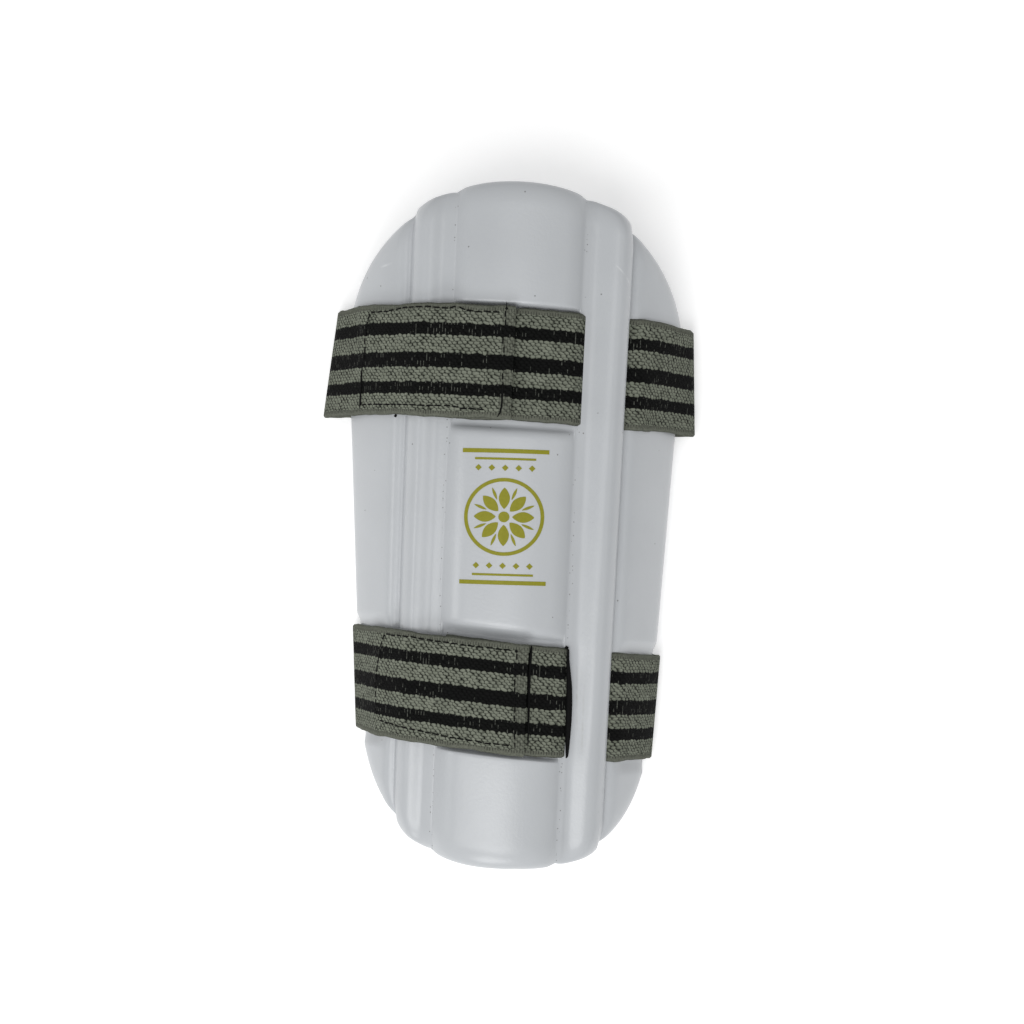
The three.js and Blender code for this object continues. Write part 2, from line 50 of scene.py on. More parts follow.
# Shell, in millimetres. At both ends its corners are rounded off and may lean to one side
LENGTH = 246.0
WRIST_RADIUS = 54.9
ELBOW_RADIUS = 70.3
WRAP_HALF_ANGLE = 70 * DEGREE
ELBOW_END = {"direction": 1, "round": 55.0, "fullness": 2.1, "lean": 0.0, "sway": 0.0}
WRIST_END = {"direction": -1, "round": 56.0, "fullness": 2.85, "lean": 5.5, "sway": 6.0}
RIB_OVERHANG = 2.0
FLOOR_THICKNESS = 5.5
EDGE_THICKNESS = 3.0
EDGE_ROUND = 9.0
EDGE_RELIEF_SHARE = 0.4
BAND_SKEW = 1.1 * DEGREE
PANEL_HALF_WIDTH = 22.3
PANEL_FLAT_HALF_WIDTH = 13.0
PANEL_CREST = 2.6
PANEL_LIP = 0.8
PANEL_LIP_WIDTH = 0.5
RIGHT_BAND = {"strip": 3.6, "rib": 16.2, "crest": 5.7, "share": 0.57, "fall": 2.0, "round": 0.5}
LEFT_BAND = {"strip": 5.0, "rib": 14.5, "crest": 3.9, "share": 0.4, "fall": 2.2, "round": 0.85}
RIB_FADE = 0.25

# How soft the face is: steps that round every crease, then wider taps for the rib crests and the valleys
CREASE_STEPS = (-0.3, -0.15, 0, 0.15, 0.3)
CREST_TAPS = {"reach": 2.4, "count": 17, "spread": 1.1}
CREST_BLEND = {"toe": 0.1, "share": 0.35}
VALLEY_BLEND = {"reach": 2.2, "right": 0.8, "left": 0.3}
LEFT_GROOVE = {"past": 0.9, "width": 0.32, "depth": 0.18}
RIGHT_TROUGH = {"past": 1.4, "width": 1.5, "depth": 0.2}

STRIP_LEVEL = 0.8
FLANGE_HEIGHT = 3.0
FLANGE_RISE = 5.0
STRIP_NOTCH = 0.9
NOTCH_REACH = 4.5
OVERHANG_BLEND = 2.4

# Straps and what they lie in
STRAP_WIDTH = 40.0
STRAP_THICKNESS = 1.3
HEM_LENGTH = 4.4
PATCH_WIDTH = 36.0
PATCH_THICKNESS = 1.2
SEAT_CLEARANCE = 0.35
SLIT_CLEARANCE = 0.3
SLIT_SIDE_CLEARANCE = 0.6
CHANNEL_FLOOR = 0.9
TUNNEL_DEPTH = 2.0
TAB_END_BAND = -20.0
SLIT_IN = {"before": 2.4, "after": 5.2}
SLIT_OUT = {"before": 5.6, "after": 6.0}
BEND_HEIGHT = 7.0
LINE_REACH = 80.0
PATCH_STACK = PATCH_THICKNESS + SEAT_CLEARANCE

UPPER = {
    "name": "upper", "middle": 58.0, "slant": 1.9 * DEGREE, "bow": -1.8, "curl": 0.9,
    "free_end": -0.6, "patch_length": 56.0, "press": 0.0, "seed": 3,
    "elbow_mouth": (20.25, 1.5, 1.3), "wrist_mouth": (21.9, 6.5, 4.4),
    "left_bulge": {"elbow": 2.6, "wrist": 9.6}, "right_bulge": {"elbow": 2.4, "wrist": 6.6},
}
LOWER = {
    "name": "lower", "middle": -60.5, "slant": 5.2 * DEGREE, "bow": 1.6, "curl": 3.4,
    "free_end": 8.9, "patch_length": 52.5, "press": 1.5, "seed": 8,
    "elbow_mouth": (22.2, 6.0, 4.0), "wrist_mouth": (20.25, 1.5, 1.3),
    "left_bulge": {"elbow": 0.0, "wrist": 0.0}, "right_bulge": {"elbow": 0.0, "wrist": 0.0},
}
STRAPS = (UPPER, LOWER)
PRESS_MARGIN = 0.4
PRESS_BLEND = 5.0
CHANNEL_DEPTH = -0.3
CHANNEL_PAST_PANEL = 0.25
HOLLOW = {"band": 29.0, "width": 2.3, "depth": 0.7, "middle": -62.0, "reach": 17.0}

SKEW_SLOPE = math.tan(BAND_SKEW)
MEAN_RADIUS = (WRIST_RADIUS + ELBOW_RADIUS) / 2
TAB_HEIGHT = CHANNEL_FLOOR + SEAT_CLEARANCE
FLANGE_SEAT = FLANGE_HEIGHT + SEAT_CLEARANCE


# Shape of the shell

def radius_at(y):
    return MEAN_RADIUS + (ELBOW_RADIUS - WRIST_RADIUS) * y / LENGTH


def inner_radius_at(y):
    return radius_at(y) - FLOOR_THICKNESS


def axis_height_at(y):
    return STRAP_THICKNESS + SEAT_CLEARANCE - inner_radius_at(y) * math.cos(WRAP_HALF_ANGLE)


def point_at(around, y, radius):
    """Points over the arm, from the way round the valley floor, the way along and the radius."""
    angle = around / radius_at(y)
    height = axis_height_at(y) + radius * np.cos(angle)
    return np.stack([radius * np.sin(angle), y + 0 * angle, height], axis=-1)


def valley_band(side):
    return PANEL_HALF_WIDTH + side["strip"] + side["rib"]


def band_of(around, y):
    return around - SKEW_SLOPE * y


def by_side(band, key):
    return np.where(band > 0, RIGHT_BAND[key], LEFT_BAND[key])


def past_panel(band):
    return np.abs(band) - PANEL_HALF_WIDTH


def past_rib(band):
    """Distance past the valley between a rib and its flange, on either side."""
    return past_panel(band) - by_side(band, "strip") - by_side(band, "rib")


def bell(distance, width):
    return np.exp(-(distance / width) ** 2)


def blend(share):
    held = np.clip(share, 0, 1)
    return held * held * (3 - 2 * held)


def rib_height(share, band):
    """Up from the seam strip to the crest, then a round down to the flange."""
    crest_share = by_side(band, "share")
    rise = np.sin(np.pi / 2 * np.clip(share / crest_share, 0, 1)) ** 2
    past = np.clip((share - crest_share) / (1 - crest_share), 0, 1)
    fall = np.clip(1 - past ** by_side(band, "fall"), 0, 1) ** by_side(band, "round")
    return np.where(share < crest_share, rise, fall)


def relief_at(band):
    """Height of the shell's face above the valley floor, across the bands."""
    reach = np.abs(band)
    strip = by_side(band, "strip")
    past_lip = past_panel(band)
    fall = np.clip(reach - PANEL_FLAT_HALF_WIDTH, 0, None) / (PANEL_HALF_WIDTH - PANEL_FLAT_HALF_WIDTH)
    panel = PANEL_LIP + (PANEL_CREST - PANEL_LIP) * (1 - fall * fall)
    lip = PANEL_LIP * np.clip(1 - (1 - STRIP_LEVEL) * past_lip / PANEL_LIP_WIDTH, STRIP_LEVEL, 1)
    rib_share = (past_lip - strip) / by_side(band, "rib")
    ribs = by_side(band, "crest") * rib_height(rib_share, band)
    rising = (rib_share < by_side(band, "share")) * (1 - rib_height(rib_share, band))
    ribs = ribs + STRIP_LEVEL * PANEL_LIP * rising
    rise = np.clip(past_rib(band) / FLANGE_RISE, 0, 1)
    flange = FLANGE_HEIGHT * np.sqrt(np.clip(1 - (1 - rise) ** 2, 0, 1))
    relief = np.where(past_lip <= 0, panel, lip)
    relief = np.where(past_lip > strip, ribs, relief)
    return np.where(rib_share > 1, flange, relief)


def strap_line(strap, across, around):
    share = around / LINE_REACH
    bend = strap["curl"] * share ** 3 - strap["bow"] * share ** 2
    return strap["middle"] + across - math.tan(strap["slant"]) * around + bend


def face_relief(around, y):
    """The face as it shows: soft creases, channels cut across the panel, flanges pressed in by a strap."""
    band = band_of(around, y)
    soft = sum(relief_at(band + step) for step in CREASE_STEPS) / len(CREASE_STEPS)
    rib_share = (past_panel(band) - by_side(band, "strip")) / by_side(band, "rib")
    taps = np.linspace(-CREST_TAPS["reach"], CREST_TAPS["reach"], CREST_TAPS["count"])
    weights = bell(taps, CREST_TAPS["spread"])
    rounded = sum(weight * relief_at(band + tap) for tap, weight in zip(taps, weights)) / weights.sum()
    on_rib = blend(np.minimum(rib_share + CREST_BLEND["toe"], 1 - rib_share) / CREST_BLEND["share"])
    soft = soft + on_rib * (rounded - soft)
    right_rib = (band > 0) & (rib_share > 0) & (rib_share < 1)
    soft = soft * (1 + RIB_FADE * np.clip(y / (LENGTH / 2), -1, 1) * right_rib)
    in_valley = blend(1 - np.abs(past_rib(band)) / VALLEY_BLEND["reach"])
    in_valley = in_valley * np.where(band > 0, VALLEY_BLEND["right"], VALLEY_BLEND["left"])
    soft = soft + in_valley * (rounded - soft)
    from_groove = band + PANEL_HALF_WIDTH + LEFT_GROOVE["past"]
    from_trough = band - PANEL_HALF_WIDTH - RIGHT_TROUGH["past"]
    soft = soft - LEFT_GROOVE["depth"] * bell(from_groove, LEFT_GROOVE["width"])
    soft = soft - RIGHT_TROUGH["depth"] * bell(from_trough, RIGHT_TROUGH["width"])
    beside_slit = np.exp(-((y - HOLLOW["middle"]) / HOLLOW["reach"]) ** 4)
    soft = soft - HOLLOW["depth"] * beside_slit * bell(band - HOLLOW["band"], HOLLOW["width"])
    for strap in STRAPS:
        offset = y - strap_line(strap, 0, around)
        start, mouth, steepness = (
            np.where(offset > 0, strap["elbow_mouth"][part], strap["wrist_mouth"][part]) for part in range(3))
        past_floor = np.clip((np.abs(offset) - start) / mouth, 0, 1)
        inside = (1 - past_floor) ** steepness * (past_panel(band) < CHANNEL_PAST_PANEL)
        soft = soft + inside * np.minimum(0, CHANNEL_DEPTH - soft)
        pressed = 1 - blend((np.abs(offset) - STRAP_WIDTH / 2 - PRESS_MARGIN) / PRESS_BLEND)
        soft = soft - strap["press"] * pressed * blend(past_rib(band) / (2 * FLANGE_RISE))
    return soft


def round_start(end):
    return end["direction"] * (LENGTH / 2 - RIB_OVERHANG - end["round"])


def outline_angles(y, end):
    past = np.clip(end["direction"] * (y - round_start(end)), 0, end["round"])
    share = past / end["round"]
    width = (1 - share ** end["fullness"]) ** (1 / end["fullness"])
    lean = (end["lean"] * share + end["sway"] * (1 - share)) * share / radius_at(y)
    half = np.arcsin(width * math.sin(WRAP_HALF_ANGLE))
    return np.maximum(-WRAP_HALF_ANGLE, lean - half), np.minimum(WRAP_HALF_ANGLE, lean + half)


def overhang_at(band):
    from_strip = np.abs(past_panel(band) - by_side(band, "strip") / 2)
    notch = STRIP_NOTCH * np.clip(1 - from_strip / NOTCH_REACH, 0, 1) ** 2
    return RIB_OVERHANG * blend(0.5 - past_rib(band) / OVERHANG_BLEND) - notch


def spread(start, end, count):
    return list(np.linspace(start, end, count, endpoint=False))


def shell_columns():
    """Columns of the grid, close at lips, grooves and valleys: side, band and share of the flange."""
    columns = []
    for sign, side in ((-1, LEFT_BAND), (1, RIGHT_BAND)):
        panel = PANEL_HALF_WIDTH
        rib_start = panel + side["strip"]
        valley = valley_band(side)
        bands = spread(0, PANEL_FLAT_HALF_WIDTH, 8) + spread(PANEL_FLAT_HALF_WIDTH, panel - 2, 8)
        bands += spread(panel - 2, panel - 0.4, 4) + spread(panel - 0.4, panel + 1.6, 9)
        bands += spread(panel + 1.6, rib_start, 4) + spread(rib_start, valley - 2.4, 20)
        bands += spread(valley - 2.4, valley, 7)
        flange = WRAP_HALF_ANGLE * MEAN_RADIUS - valley
        rise = FLANGE_RISE / flange
        edge = 1 - EDGE_ROUND / flange
        shares = spread(0, rise * 0.3, 4) + spread(rise * 0.3, rise, 6) + spread(rise, edge, 14)
        shares += [edge + (1 - edge) * math.sin(math.pi / 2 * step / 12) for step in range(13)]
        side_columns = [(sign, sign * band, 0.0) for band in bands[1:]]
        side_columns += [(sign, sign * valley, share) for share in shares]
        columns = side_columns[::-1] + [(1, 0.0, 0.0)] if sign < 0 else columns + side_columns
    return np.array(columns)


def column_angle(columns, y):
    sign, band, share = columns.T if y.ndim == 1 else columns.T[:, :, None]
    band_angle = (band + SKEW_SLOPE * y) / radius_at(y)
    return band_angle + (sign * WRAP_HALF_ANGLE - band_angle) * share


def column_ends(columns, end):
    inside = np.zeros(len(columns))
    outside = np.full(len(columns), end["direction"] * (LENGTH / 2 - RIB_OVERHANG))
    for _ in range(40):
        middle = (inside + outside) / 2
        angle = column_angle(columns, middle)
        left, right = outline_angles(middle, end)
        within = (angle > left) & (angle < right)
        inside = np.where(within, middle, inside)
        outside = np.where(within, outside, middle)
    band = band_of(column_angle(columns, inside) * radius_at(inside), inside)
    ends = inside + end["direction"] * overhang_at(band)
    return np.where(columns[:, 2] >= 1, round_start(end), ends)


def shell_rows(columns, low, high):
    """Rows of every column, in step with both channels: they follow the slant of the straps."""
    rough = column_angle(columns, np.zeros(len(columns))) * MEAN_RADIUS
    anchors = [low + EDGE_ROUND]
    for strap in (LOWER, UPPER):
        wrist, elbow = strap["wrist_mouth"], strap["elbow_mouth"]
        for offset in (-wrist[0] - wrist[1], -wrist[0], elbow[0], elbow[0] + elbow[1]):
            anchors.append(strap_line(strap, offset, rough))
    counts = [30, 6, 42, 10, 66, 10, 42, 6, 34]
    for index in range(1, len(anchors)):
        room = (len(anchors) - index) * 0.6
        anchors[index] = np.clip(anchors[index], anchors[index - 1] + 0.5, high - EDGE_ROUND - room)
        anchors[index] = np.maximum(anchors[index], anchors[index - 1] + 0.3)
    anchors.append(high - EDGE_ROUND)
    rounding = [EDGE_ROUND * (1 - math.cos(math.pi / 2 * step / 14)) for step in range(14)]
    rows = [low + inset for inset in rounding]
    for (start, end), count in zip(zip(anchors, anchors[1:]), counts):
        rows += [start + (end - start) * step / count for step in range(count)]
    rows.append(anchors[-1])
    rows += [high - inset for inset in rounding[::-1]]
    return np.stack(rows, axis=1)


def outline_distance(around, y, outline):
    """Distance of each grid point to the nearest side of the outline, laid flat."""
    start = outline
    run = np.roll(outline, -1, axis=0) - start
    square = (run ** 2).sum(axis=1)
    nearest = np.full(around.size, 1e9)
    flat = np.stack([around.ravel(), y.ravel()], axis=1)
    for (x0, y0), (dx, dy), size in zip(start, run, square):
        share = np.clip(((flat[:, 0] - x0) * dx + (flat[:, 1] - y0) * dy) / size, 0, 1)
        nearest = np.minimum(nearest, np.hypot(flat[:, 0] - x0 - share * dx, flat[:, 1] - y0 - share * dy))
    return nearest.reshape(around.shape)


def mesh_object(name, points, faces, uv=None, smooth=True):
    mesh = bpy.data.meshes.new(name)
    mesh.from_pydata((np.asarray(points) * MM).tolist(), [], faces)
    mesh.validate()
    if uv is not None:
        layer = mesh.uv_layers.new(name="strip")
        loops = np.empty(len(mesh.loops), dtype=np.int32)
        mesh.loops.foreach_get("vertex_index", loops)
        layer.data.foreach_set("uv", np.asarray(uv, dtype=np.float32)[loops].ravel())
    if smooth:
        mesh.polygons.foreach_set("use_smooth", [True] * len(mesh.polygons))
    mesh.update()
    piece = bpy.data.objects.new(name, mesh)
    bpy.context.scene.collection.objects.link(piece)
    return piece


def frame_shift(points):
    """From the shell's own axes to the frame, whose origin is under the middle of the whole guard."""
    low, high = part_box("moulded_shell")
    middle = (np.array(low) + np.array(high)) / 2 / MM
    own = (points.min(axis=0) + points.max(axis=0)) / 2
    return np.array([middle[0] - own[0], middle[1] - own[1], 0])


BACK_ROW_STEP = 6


def shell_mesh():
    columns = shell_columns()
    low = column_ends(columns, WRIST_END)
    high = column_ends(columns, ELBOW_END)
    y = shell_rows(columns, low, high)
    angle = column_angle(columns, y)
    around = angle * radius_at(y)

    def flat_ends(ends):
        return np.stack([column_angle(columns, ends) * radius_at(ends), ends], axis=1)

    outline = np.concatenate([flat_ends(low), flat_ends(high)[::-1]])
    distance = outline_distance(around, y, outline)
    relief = face_relief(around, y)
    edge = EDGE_THICKNESS + EDGE_RELIEF_SHARE * relief
    depth = np.clip(distance / EDGE_ROUND, 0, 1)
    thickness = edge + (FLOOR_THICKNESS + relief - edge) * np.sqrt(1 - (1 - depth) ** 2)
    face = point_at(around, y, inner_radius_at(y) + thickness)
    kept = sorted(set(range(0, y.shape[1], BACK_ROW_STEP)) | {y.shape[1] - 1})
    back = point_at(around, y, inner_radius_at(y) + 0 * y)[:, kept]

    column_count, row_count = y.shape
    back_rows = len(kept)
    face_index = np.arange(column_count * row_count).reshape(column_count, row_count)
    back_index = face_index.size + np.arange(column_count * back_rows).reshape(column_count, back_rows)

    def quads(a, b, c, d):
        return np.stack([a.ravel(), b.ravel(), c.ravel(), d.ravel()], axis=1).tolist()

    faces = quads(face_index[:-1, :-1], face_index[1:, :-1], face_index[1:, 1:], face_index[:-1, 1:])
    faces += quads(back_index[:-1, :-1], back_index[:-1, 1:], back_index[1:, 1:], back_index[1:, :-1])
    faces += quads(back_index[:-1, 0], back_index[1:, 0], face_index[1:, 0], face_index[:-1, 0])
    faces += quads(face_index[:-1, -1], face_index[1:, -1], back_index[1:, -1], back_index[:-1, -1])
    for side, turn in ((0, 1), (-1, -1)):
        for row, (start, end) in enumerate(zip(kept, kept[1:])):
            run = face_index[side, start:end + 1].tolist()
            ring = [back_index[side, row + 1], back_index[side, row]] + run
            faces.append([int(corner) for corner in ring[::turn]])
    points = np.concatenate([face.reshape(-1, 3), back.reshape(-1, 3)])
    laid = np.concatenate([
        np.stack([around, y], axis=-1).reshape(-1, 2),
        np.stack([around, y], axis=-1)[:, kept].reshape(-1, 2),
    ])
    return points, faces, laid * MM


# Path of a strap

def around_of(strap, across, band):
    return band + SKEW_SLOPE * strap_line(strap, across, band)


SLIT_IN_START = PANEL_HALF_WIDTH - SLIT_IN["before"]
SLIT_IN_END = PANEL_HALF_WIDTH + SLIT_IN["after"]
SLIT_OUT_START = valley_band(RIGHT_BAND) - SLIT_OUT["before"]
SLIT_OUT_END = valley_band(RIGHT_BAND) + SLIT_OUT["after"]


def threaded_height(strap, band):
    seat = FLANGE_SEAT - strap["press"] * blend((band - valley_band(RIGHT_BAND)) / (2 * FLANGE_RISE))
    sink = blend((band - SLIT_IN_START) / (SLIT_IN_END - SLIT_IN_START))
    rise = blend((band - SLIT_OUT_START) / (SLIT_OUT_END - SLIT_OUT_START))
    return TAB_HEIGHT - (TAB_HEIGHT + TUNNEL_DEPTH) * sink + (seat + TUNNEL_DEPTH) * rise


def over_shell(strap, across, start, end, step, height):
    around = np.linspace(start, end, max(3, math.ceil(abs(end - start) / step)))
    y = strap_line(strap, across, around)
    return point_at(around, y, radius_at(y) + height(strap, band_of(around, y)))


def distances(points):
    """Distance of each point along the line from its start."""
    return np.concatenate([[0], np.cumsum(np.linalg.norm(np.diff(points, axis=0), axis=1))])


def resample(points, count):
    along = distances(points)
    stations = np.linspace(0, along[-1], count)
    return np.stack([np.interp(stations, along, points[:, axis]) for axis in range(3)], axis=1)


def softened(points, passes=4):
    for _ in range(passes):
        cut = np.empty((2 * len(points), 3))
        cut[0] = points[0]
        cut[-1] = points[-1]
        cut[1:-1:2] = points[:-1] * 0.75 + points[1:] * 0.25
        cut[2:-1:2] = points[:-1] * 0.25 + points[1:] * 0.75
        points = cut
    return points


def shell_reach(strap, y):
    flange = FLANGE_HEIGHT - strap["press"]
    edge = EDGE_THICKNESS + EDGE_RELIEF_SHARE * flange
    distance = np.linspace(0, EDGE_ROUND, 25)
    lift = np.sqrt(1 - (1 - distance / EDGE_ROUND) ** 2)
    radius = inner_radius_at(y) + edge + (FLOOR_THICKNESS + flange - edge) * lift
    return (radius * np.sin(WRAP_HALF_ANGLE - distance / radius_at(y))).max()


def leave_around(y, seat, half_width):
    radius = radius_at(y) + seat
    low, high = 30 * DEGREE, WRAP_HALF_ANGLE
    for _ in range(40):
        angle = (low + high) / 2
        drop = axis_height_at(y) + radius * math.cos(angle) - BEND_HEIGHT
        if radius * math.sin(angle) + drop / math.tan(angle) > half_width:
            low = angle
        else:
            high = angle
    return low * radius_at(y)


def loop_end(strap, across, sign, seat):
    bulge = strap["right_bulge" if sign > 0 else "left_bulge"]
    share = across / STRAP_WIDTH + 0.5
    y = strap_line(strap, across, sign * LINE_REACH)
    half_width = shell_reach(strap, y) + SEAT_CLEARANCE
    half_width += bulge["wrist"] + (bulge["elbow"] - bulge["wrist"]) * share
    return {"seat": seat, "half_width": half_width, "leave": leave_around(y, seat, half_width)}


LOOP_KNOTS = (
    {"inset": 0.0, "lift": 1.0, "share": 0.4},
    {"inset": 0.06, "lift": 0.36, "share": 0.7},
    {"inset": 0.43, "lift": 0.0, "share": 0.9},
    {"inset": 1.3, "lift": 0.0, "share": 1.0},
)


def loop_side(strap, across, sign, end):
    first_y = strap_line(strap, across, sign * end["leave"])
    knots = [point_at(sign * end["leave"], first_y, radius_at(first_y) + end["seat"])]
    for knot in LOOP_KNOTS:
        around = end["leave"] + (LINE_REACH - end["leave"]) * knot["share"]
        knots.append(np.array([
            sign * (end["half_width"] - knot["inset"] * BEND_HEIGHT),
            strap_line(strap, across, sign * around),
            STRAP_THICKNESS + knot["lift"] * (BEND_HEIGHT - STRAP_THICKNESS),
        ]))
    return softened(np.array(knots))


def taut(points):
    """The line that a taut strip takes over bumps: the convex hull of what it lies on."""
    hull = []
    for point in points:
        while len(hull) > 1:
            a, b = hull[-2], hull[-1]
            if (b[0] - a[0]) * (point[2] - a[2]) - (b[2] - a[2]) * (point[0] - a[0]) < 0:
                break
            hull.pop()
        hull.append(point)
    return np.array(hull)


def patch_start_band(strap):
    return strap["free_end"] - HEM_LENGTH - strap["patch_length"]


def seat_height(strap, band):
    patch = np.where(band > patch_start_band(strap) - SEAT_CLEARANCE, PATCH_STACK, 0)
    pressed = strap["press"] * blend(past_rib(band) / (2 * FLANGE_RISE))
    height = relief_at(band) + SEAT_CLEARANCE - pressed
    height = np.where(band > -PANEL_HALF_WIDTH, TAB_HEIGHT, height)
    over_tab = TAB_HEIGHT + STRAP_THICKNESS + SEAT_CLEARANCE
    height = np.where(band > TAB_END_BAND - SEAT_CLEARANCE, over_tab, height)
    return height + patch


def left_line(strap, across):
    flange_seat = FLANGE_SEAT - strap["press"]
    bare = loop_end(strap, across, -1, flange_seat)
    leave_band = band_of(-bare["leave"], strap_line(strap, across, -bare["leave"]))
    reaches_patch = patch_start_band(strap) < leave_band
    end = loop_end(strap, across, -1, flange_seat + PATCH_STACK) if reaches_patch else bare
    up = loop_side(strap, across, -1, end)[::-1]
    free_end = around_of(strap, across, strap["free_end"])
    seats = over_shell(strap, across, -end["leave"], free_end, 0.5, seat_height)
    return np.concatenate([up, taut(seats)[1:]])


def right_line(strap, across):
    end = loop_end(strap, across, 1, FLANGE_SEAT - strap["press"])
    tab_end = around_of(strap, across, TAB_END_BAND)
    slit_end = around_of(strap, across, SLIT_OUT_END)
    end["leave"] = max(end["leave"], slit_end + SEAT_CLEARANCE)
    threaded = resample(over_shell(strap, across, tab_end, slit_end, 0.4, threaded_height), 90)
    flange = resample(over_shell(strap, across, slit_end, end["leave"], 0.4, threaded_height), 16)
    return threaded, flange, resample(loop_side(strap, across, 1, end), 36)


def smoothed(values, passes):
    for _ in range(passes):
        inner = (values[:-2] + 2 * values[1:-1] + values[2:]) / 4
        values = np.concatenate([values[:1], inner, values[-1:]])
    return values


def stretch(line, near, far, count):
    """A stretch of a line, between two distances from its end."""
    last = 2999
    fine = resample(line, last + 1)
    step = distances(line)[-1] / last
    start = max(0, last - round(far / step))
    return resample(fine[start:last - round(near / step) + 1], count)


CROSS_LINES = 9
FLOOR_STATIONS = 40
LEAD_STATIONS = 84
HOOKED_STATIONS = 84
HEM_STATIONS = 12


def strap_lines(strap):
    """Lines of the strap's inner face, across by along, and where its hooked part and its hem start."""
    lines = []
    for across in np.linspace(-STRAP_WIDTH / 2, STRAP_WIDTH / 2, CROSS_LINES):
        left = left_line(strap, across)
        threaded, flange, down = right_line(strap, across)
        hook_start = HEM_LENGTH + SEAT_CLEARANCE
        hook_end = hook_start + strap["patch_length"]
        lead = stretch(left, hook_end, 1e9, LEAD_STATIONS)
        hooked = stretch(left, hook_start, hook_end, HOOKED_STATIONS)
        hem = stretch(left, 0, HEM_LENGTH, HEM_STATIONS)
        floor = np.linspace(down[-1], lead[0], FLOOR_STATIONS + 2)[1:-1]
        lines.append(np.concatenate([threaded, flange[1:], down[1:], floor, lead, hooked[1:], hem]))
    lines = np.array(lines)
    hem_from = lines.shape[1] - HEM_STATIONS
    hooked_from = hem_from - HOOKED_STATIONS + 1
    smooth = np.array([smoothed(line, 3) for line in lines])
    return smooth, hooked_from, hem_from


def across_all(lines, positions):
    known = np.linspace(-STRAP_WIDTH / 2, STRAP_WIDTH / 2, lines.shape[0])
    upper = np.clip(np.searchsorted(known, positions, side="right"), 1, len(known) - 1)
    share = ((positions - known[upper - 1]) / (known[upper] - known[upper - 1]))[:, None, None]
    return lines[upper - 1] * (1 - share) + lines[upper] * share


def outward_of(lines):
    run = np.gradient(lines, axis=1)
    length = np.hypot(run[..., 0], run[..., 2])
    return np.stack([-run[..., 2] / length, 0 * length, run[..., 0] / length], axis=-1)


def waver(along, seed):
    """A slow unevenness of fabric edges, the same on every run."""
    rng = np.random.default_rng(seed)
    phases = rng.uniform(0, 2 * np.pi, 5)
    waves = (61.0, 34.0, 17.0, 9.0, 5.3)
    sizes = (0.3, 0.3, 0.2, 0.12, 0.08)
    return sum(
        size * np.sin(2 * np.pi * along / wave + phase) for size, wave, phase in zip(sizes, waves, phases))


ACROSS_COUNT = 49
EDGE_FALL = 0.9
EDGE_SWAY = 0.55
HEM_PUFF = {"height": 0.28, "from_end": 2.0, "width": 1.6}


class Ribbon:
    """A strap's surface: places on its outer face, by distance from the free end and from the middle line."""

    def __init__(self, strap):
        self.strap = strap
        lines, self.hooked_from, self.hem_from = strap_lines(strap)
        share = np.linspace(-1, 1, ACROSS_COUNT)
        self.positions = STRAP_WIDTH / 2 * (0.8 * share + 0.2 * np.sin(share * np.pi / 2))
        inner = across_all(lines, self.positions)
        self.along = distances(inner[ACROSS_COUNT // 2])
        self.length = self.along[-1]
        self.outward = outward_of(inner)
        edge = np.abs(self.positions) / (STRAP_WIDTH / 2)
        elbow_edge = waver(self.along, strap["seed"])
        wrist_edge = waver(self.along, strap["seed"] + 20)
        sway = np.where(self.positions[:, None] > 0, elbow_edge, wrist_edge)
        inner[..., 1] += EDGE_SWAY * sway * edge[:, None] ** 6
        self.inner = inner
        fall = np.clip((STRAP_WIDTH / 2 - np.abs(self.positions)) / EDGE_FALL, 0, 1)
        self.rounding = STRAP_THICKNESS / 2 * (1 - np.sqrt(1 - (1 - fall) ** 2))
        self.outer = inner + self.outward * (STRAP_THICKNESS - self.rounding)[:, None, None]

    def place(self, from_end, across, lift=0.0):
        """A point on the outer face, or lifted off it."""
        along = self.length - from_end
        station = np.interp(along, self.along, np.arange(len(self.along)))
        column = np.interp(across, self.positions, np.arange(ACROSS_COUNT))
        i, j = min(int(column), ACROSS_COUNT - 2), min(int(station), len(self.along) - 2)
        u, v = column - i, station - j
        lifted = self.outer[i:i + 2, j:j + 2] + self.outward[i:i + 2, j:j + 2] * lift
        near, far = lifted[0] * (1 - u) + lifted[1] * u
        return near * (1 - v) + far * v


def grid_faces(rows, columns, closed=False):
    index = np.arange(rows * columns).reshape(rows, columns)
    if closed:
        index = np.concatenate([index, index[:1]], axis=0)
    quads = np.stack([index[:-1, :-1], index[:-1, 1:], index[1:, 1:], index[1:, :-1]], axis=-1)
    return quads.reshape(-1, 4).tolist()


def tube_faces(ring):
    """Faces round a ring of lines, upper half and lower half, with a cap of quads at both ends."""
    rows, count = ring.shape[:2]
    faces = [face[::-1] for face in grid_faces(rows, count, closed=True)]
    for station, turn in ((0, 1), (count - 1, -1)):
        for row in range(rows // 2 - 1):
            low = row * count + station
            high = (rows - 1 - row) * count + station
            faces.append([low, low + count, high - count, high][::turn])
    return faces


def flat_map(along, across):
    """The flat map of a ring of lines, from the places along and across its upper half."""
    both = np.concatenate([across, across[::-1]])[:, None]
    return np.stack(np.broadcast_arrays(along, both), axis=-1).reshape(-1, 2) * MM


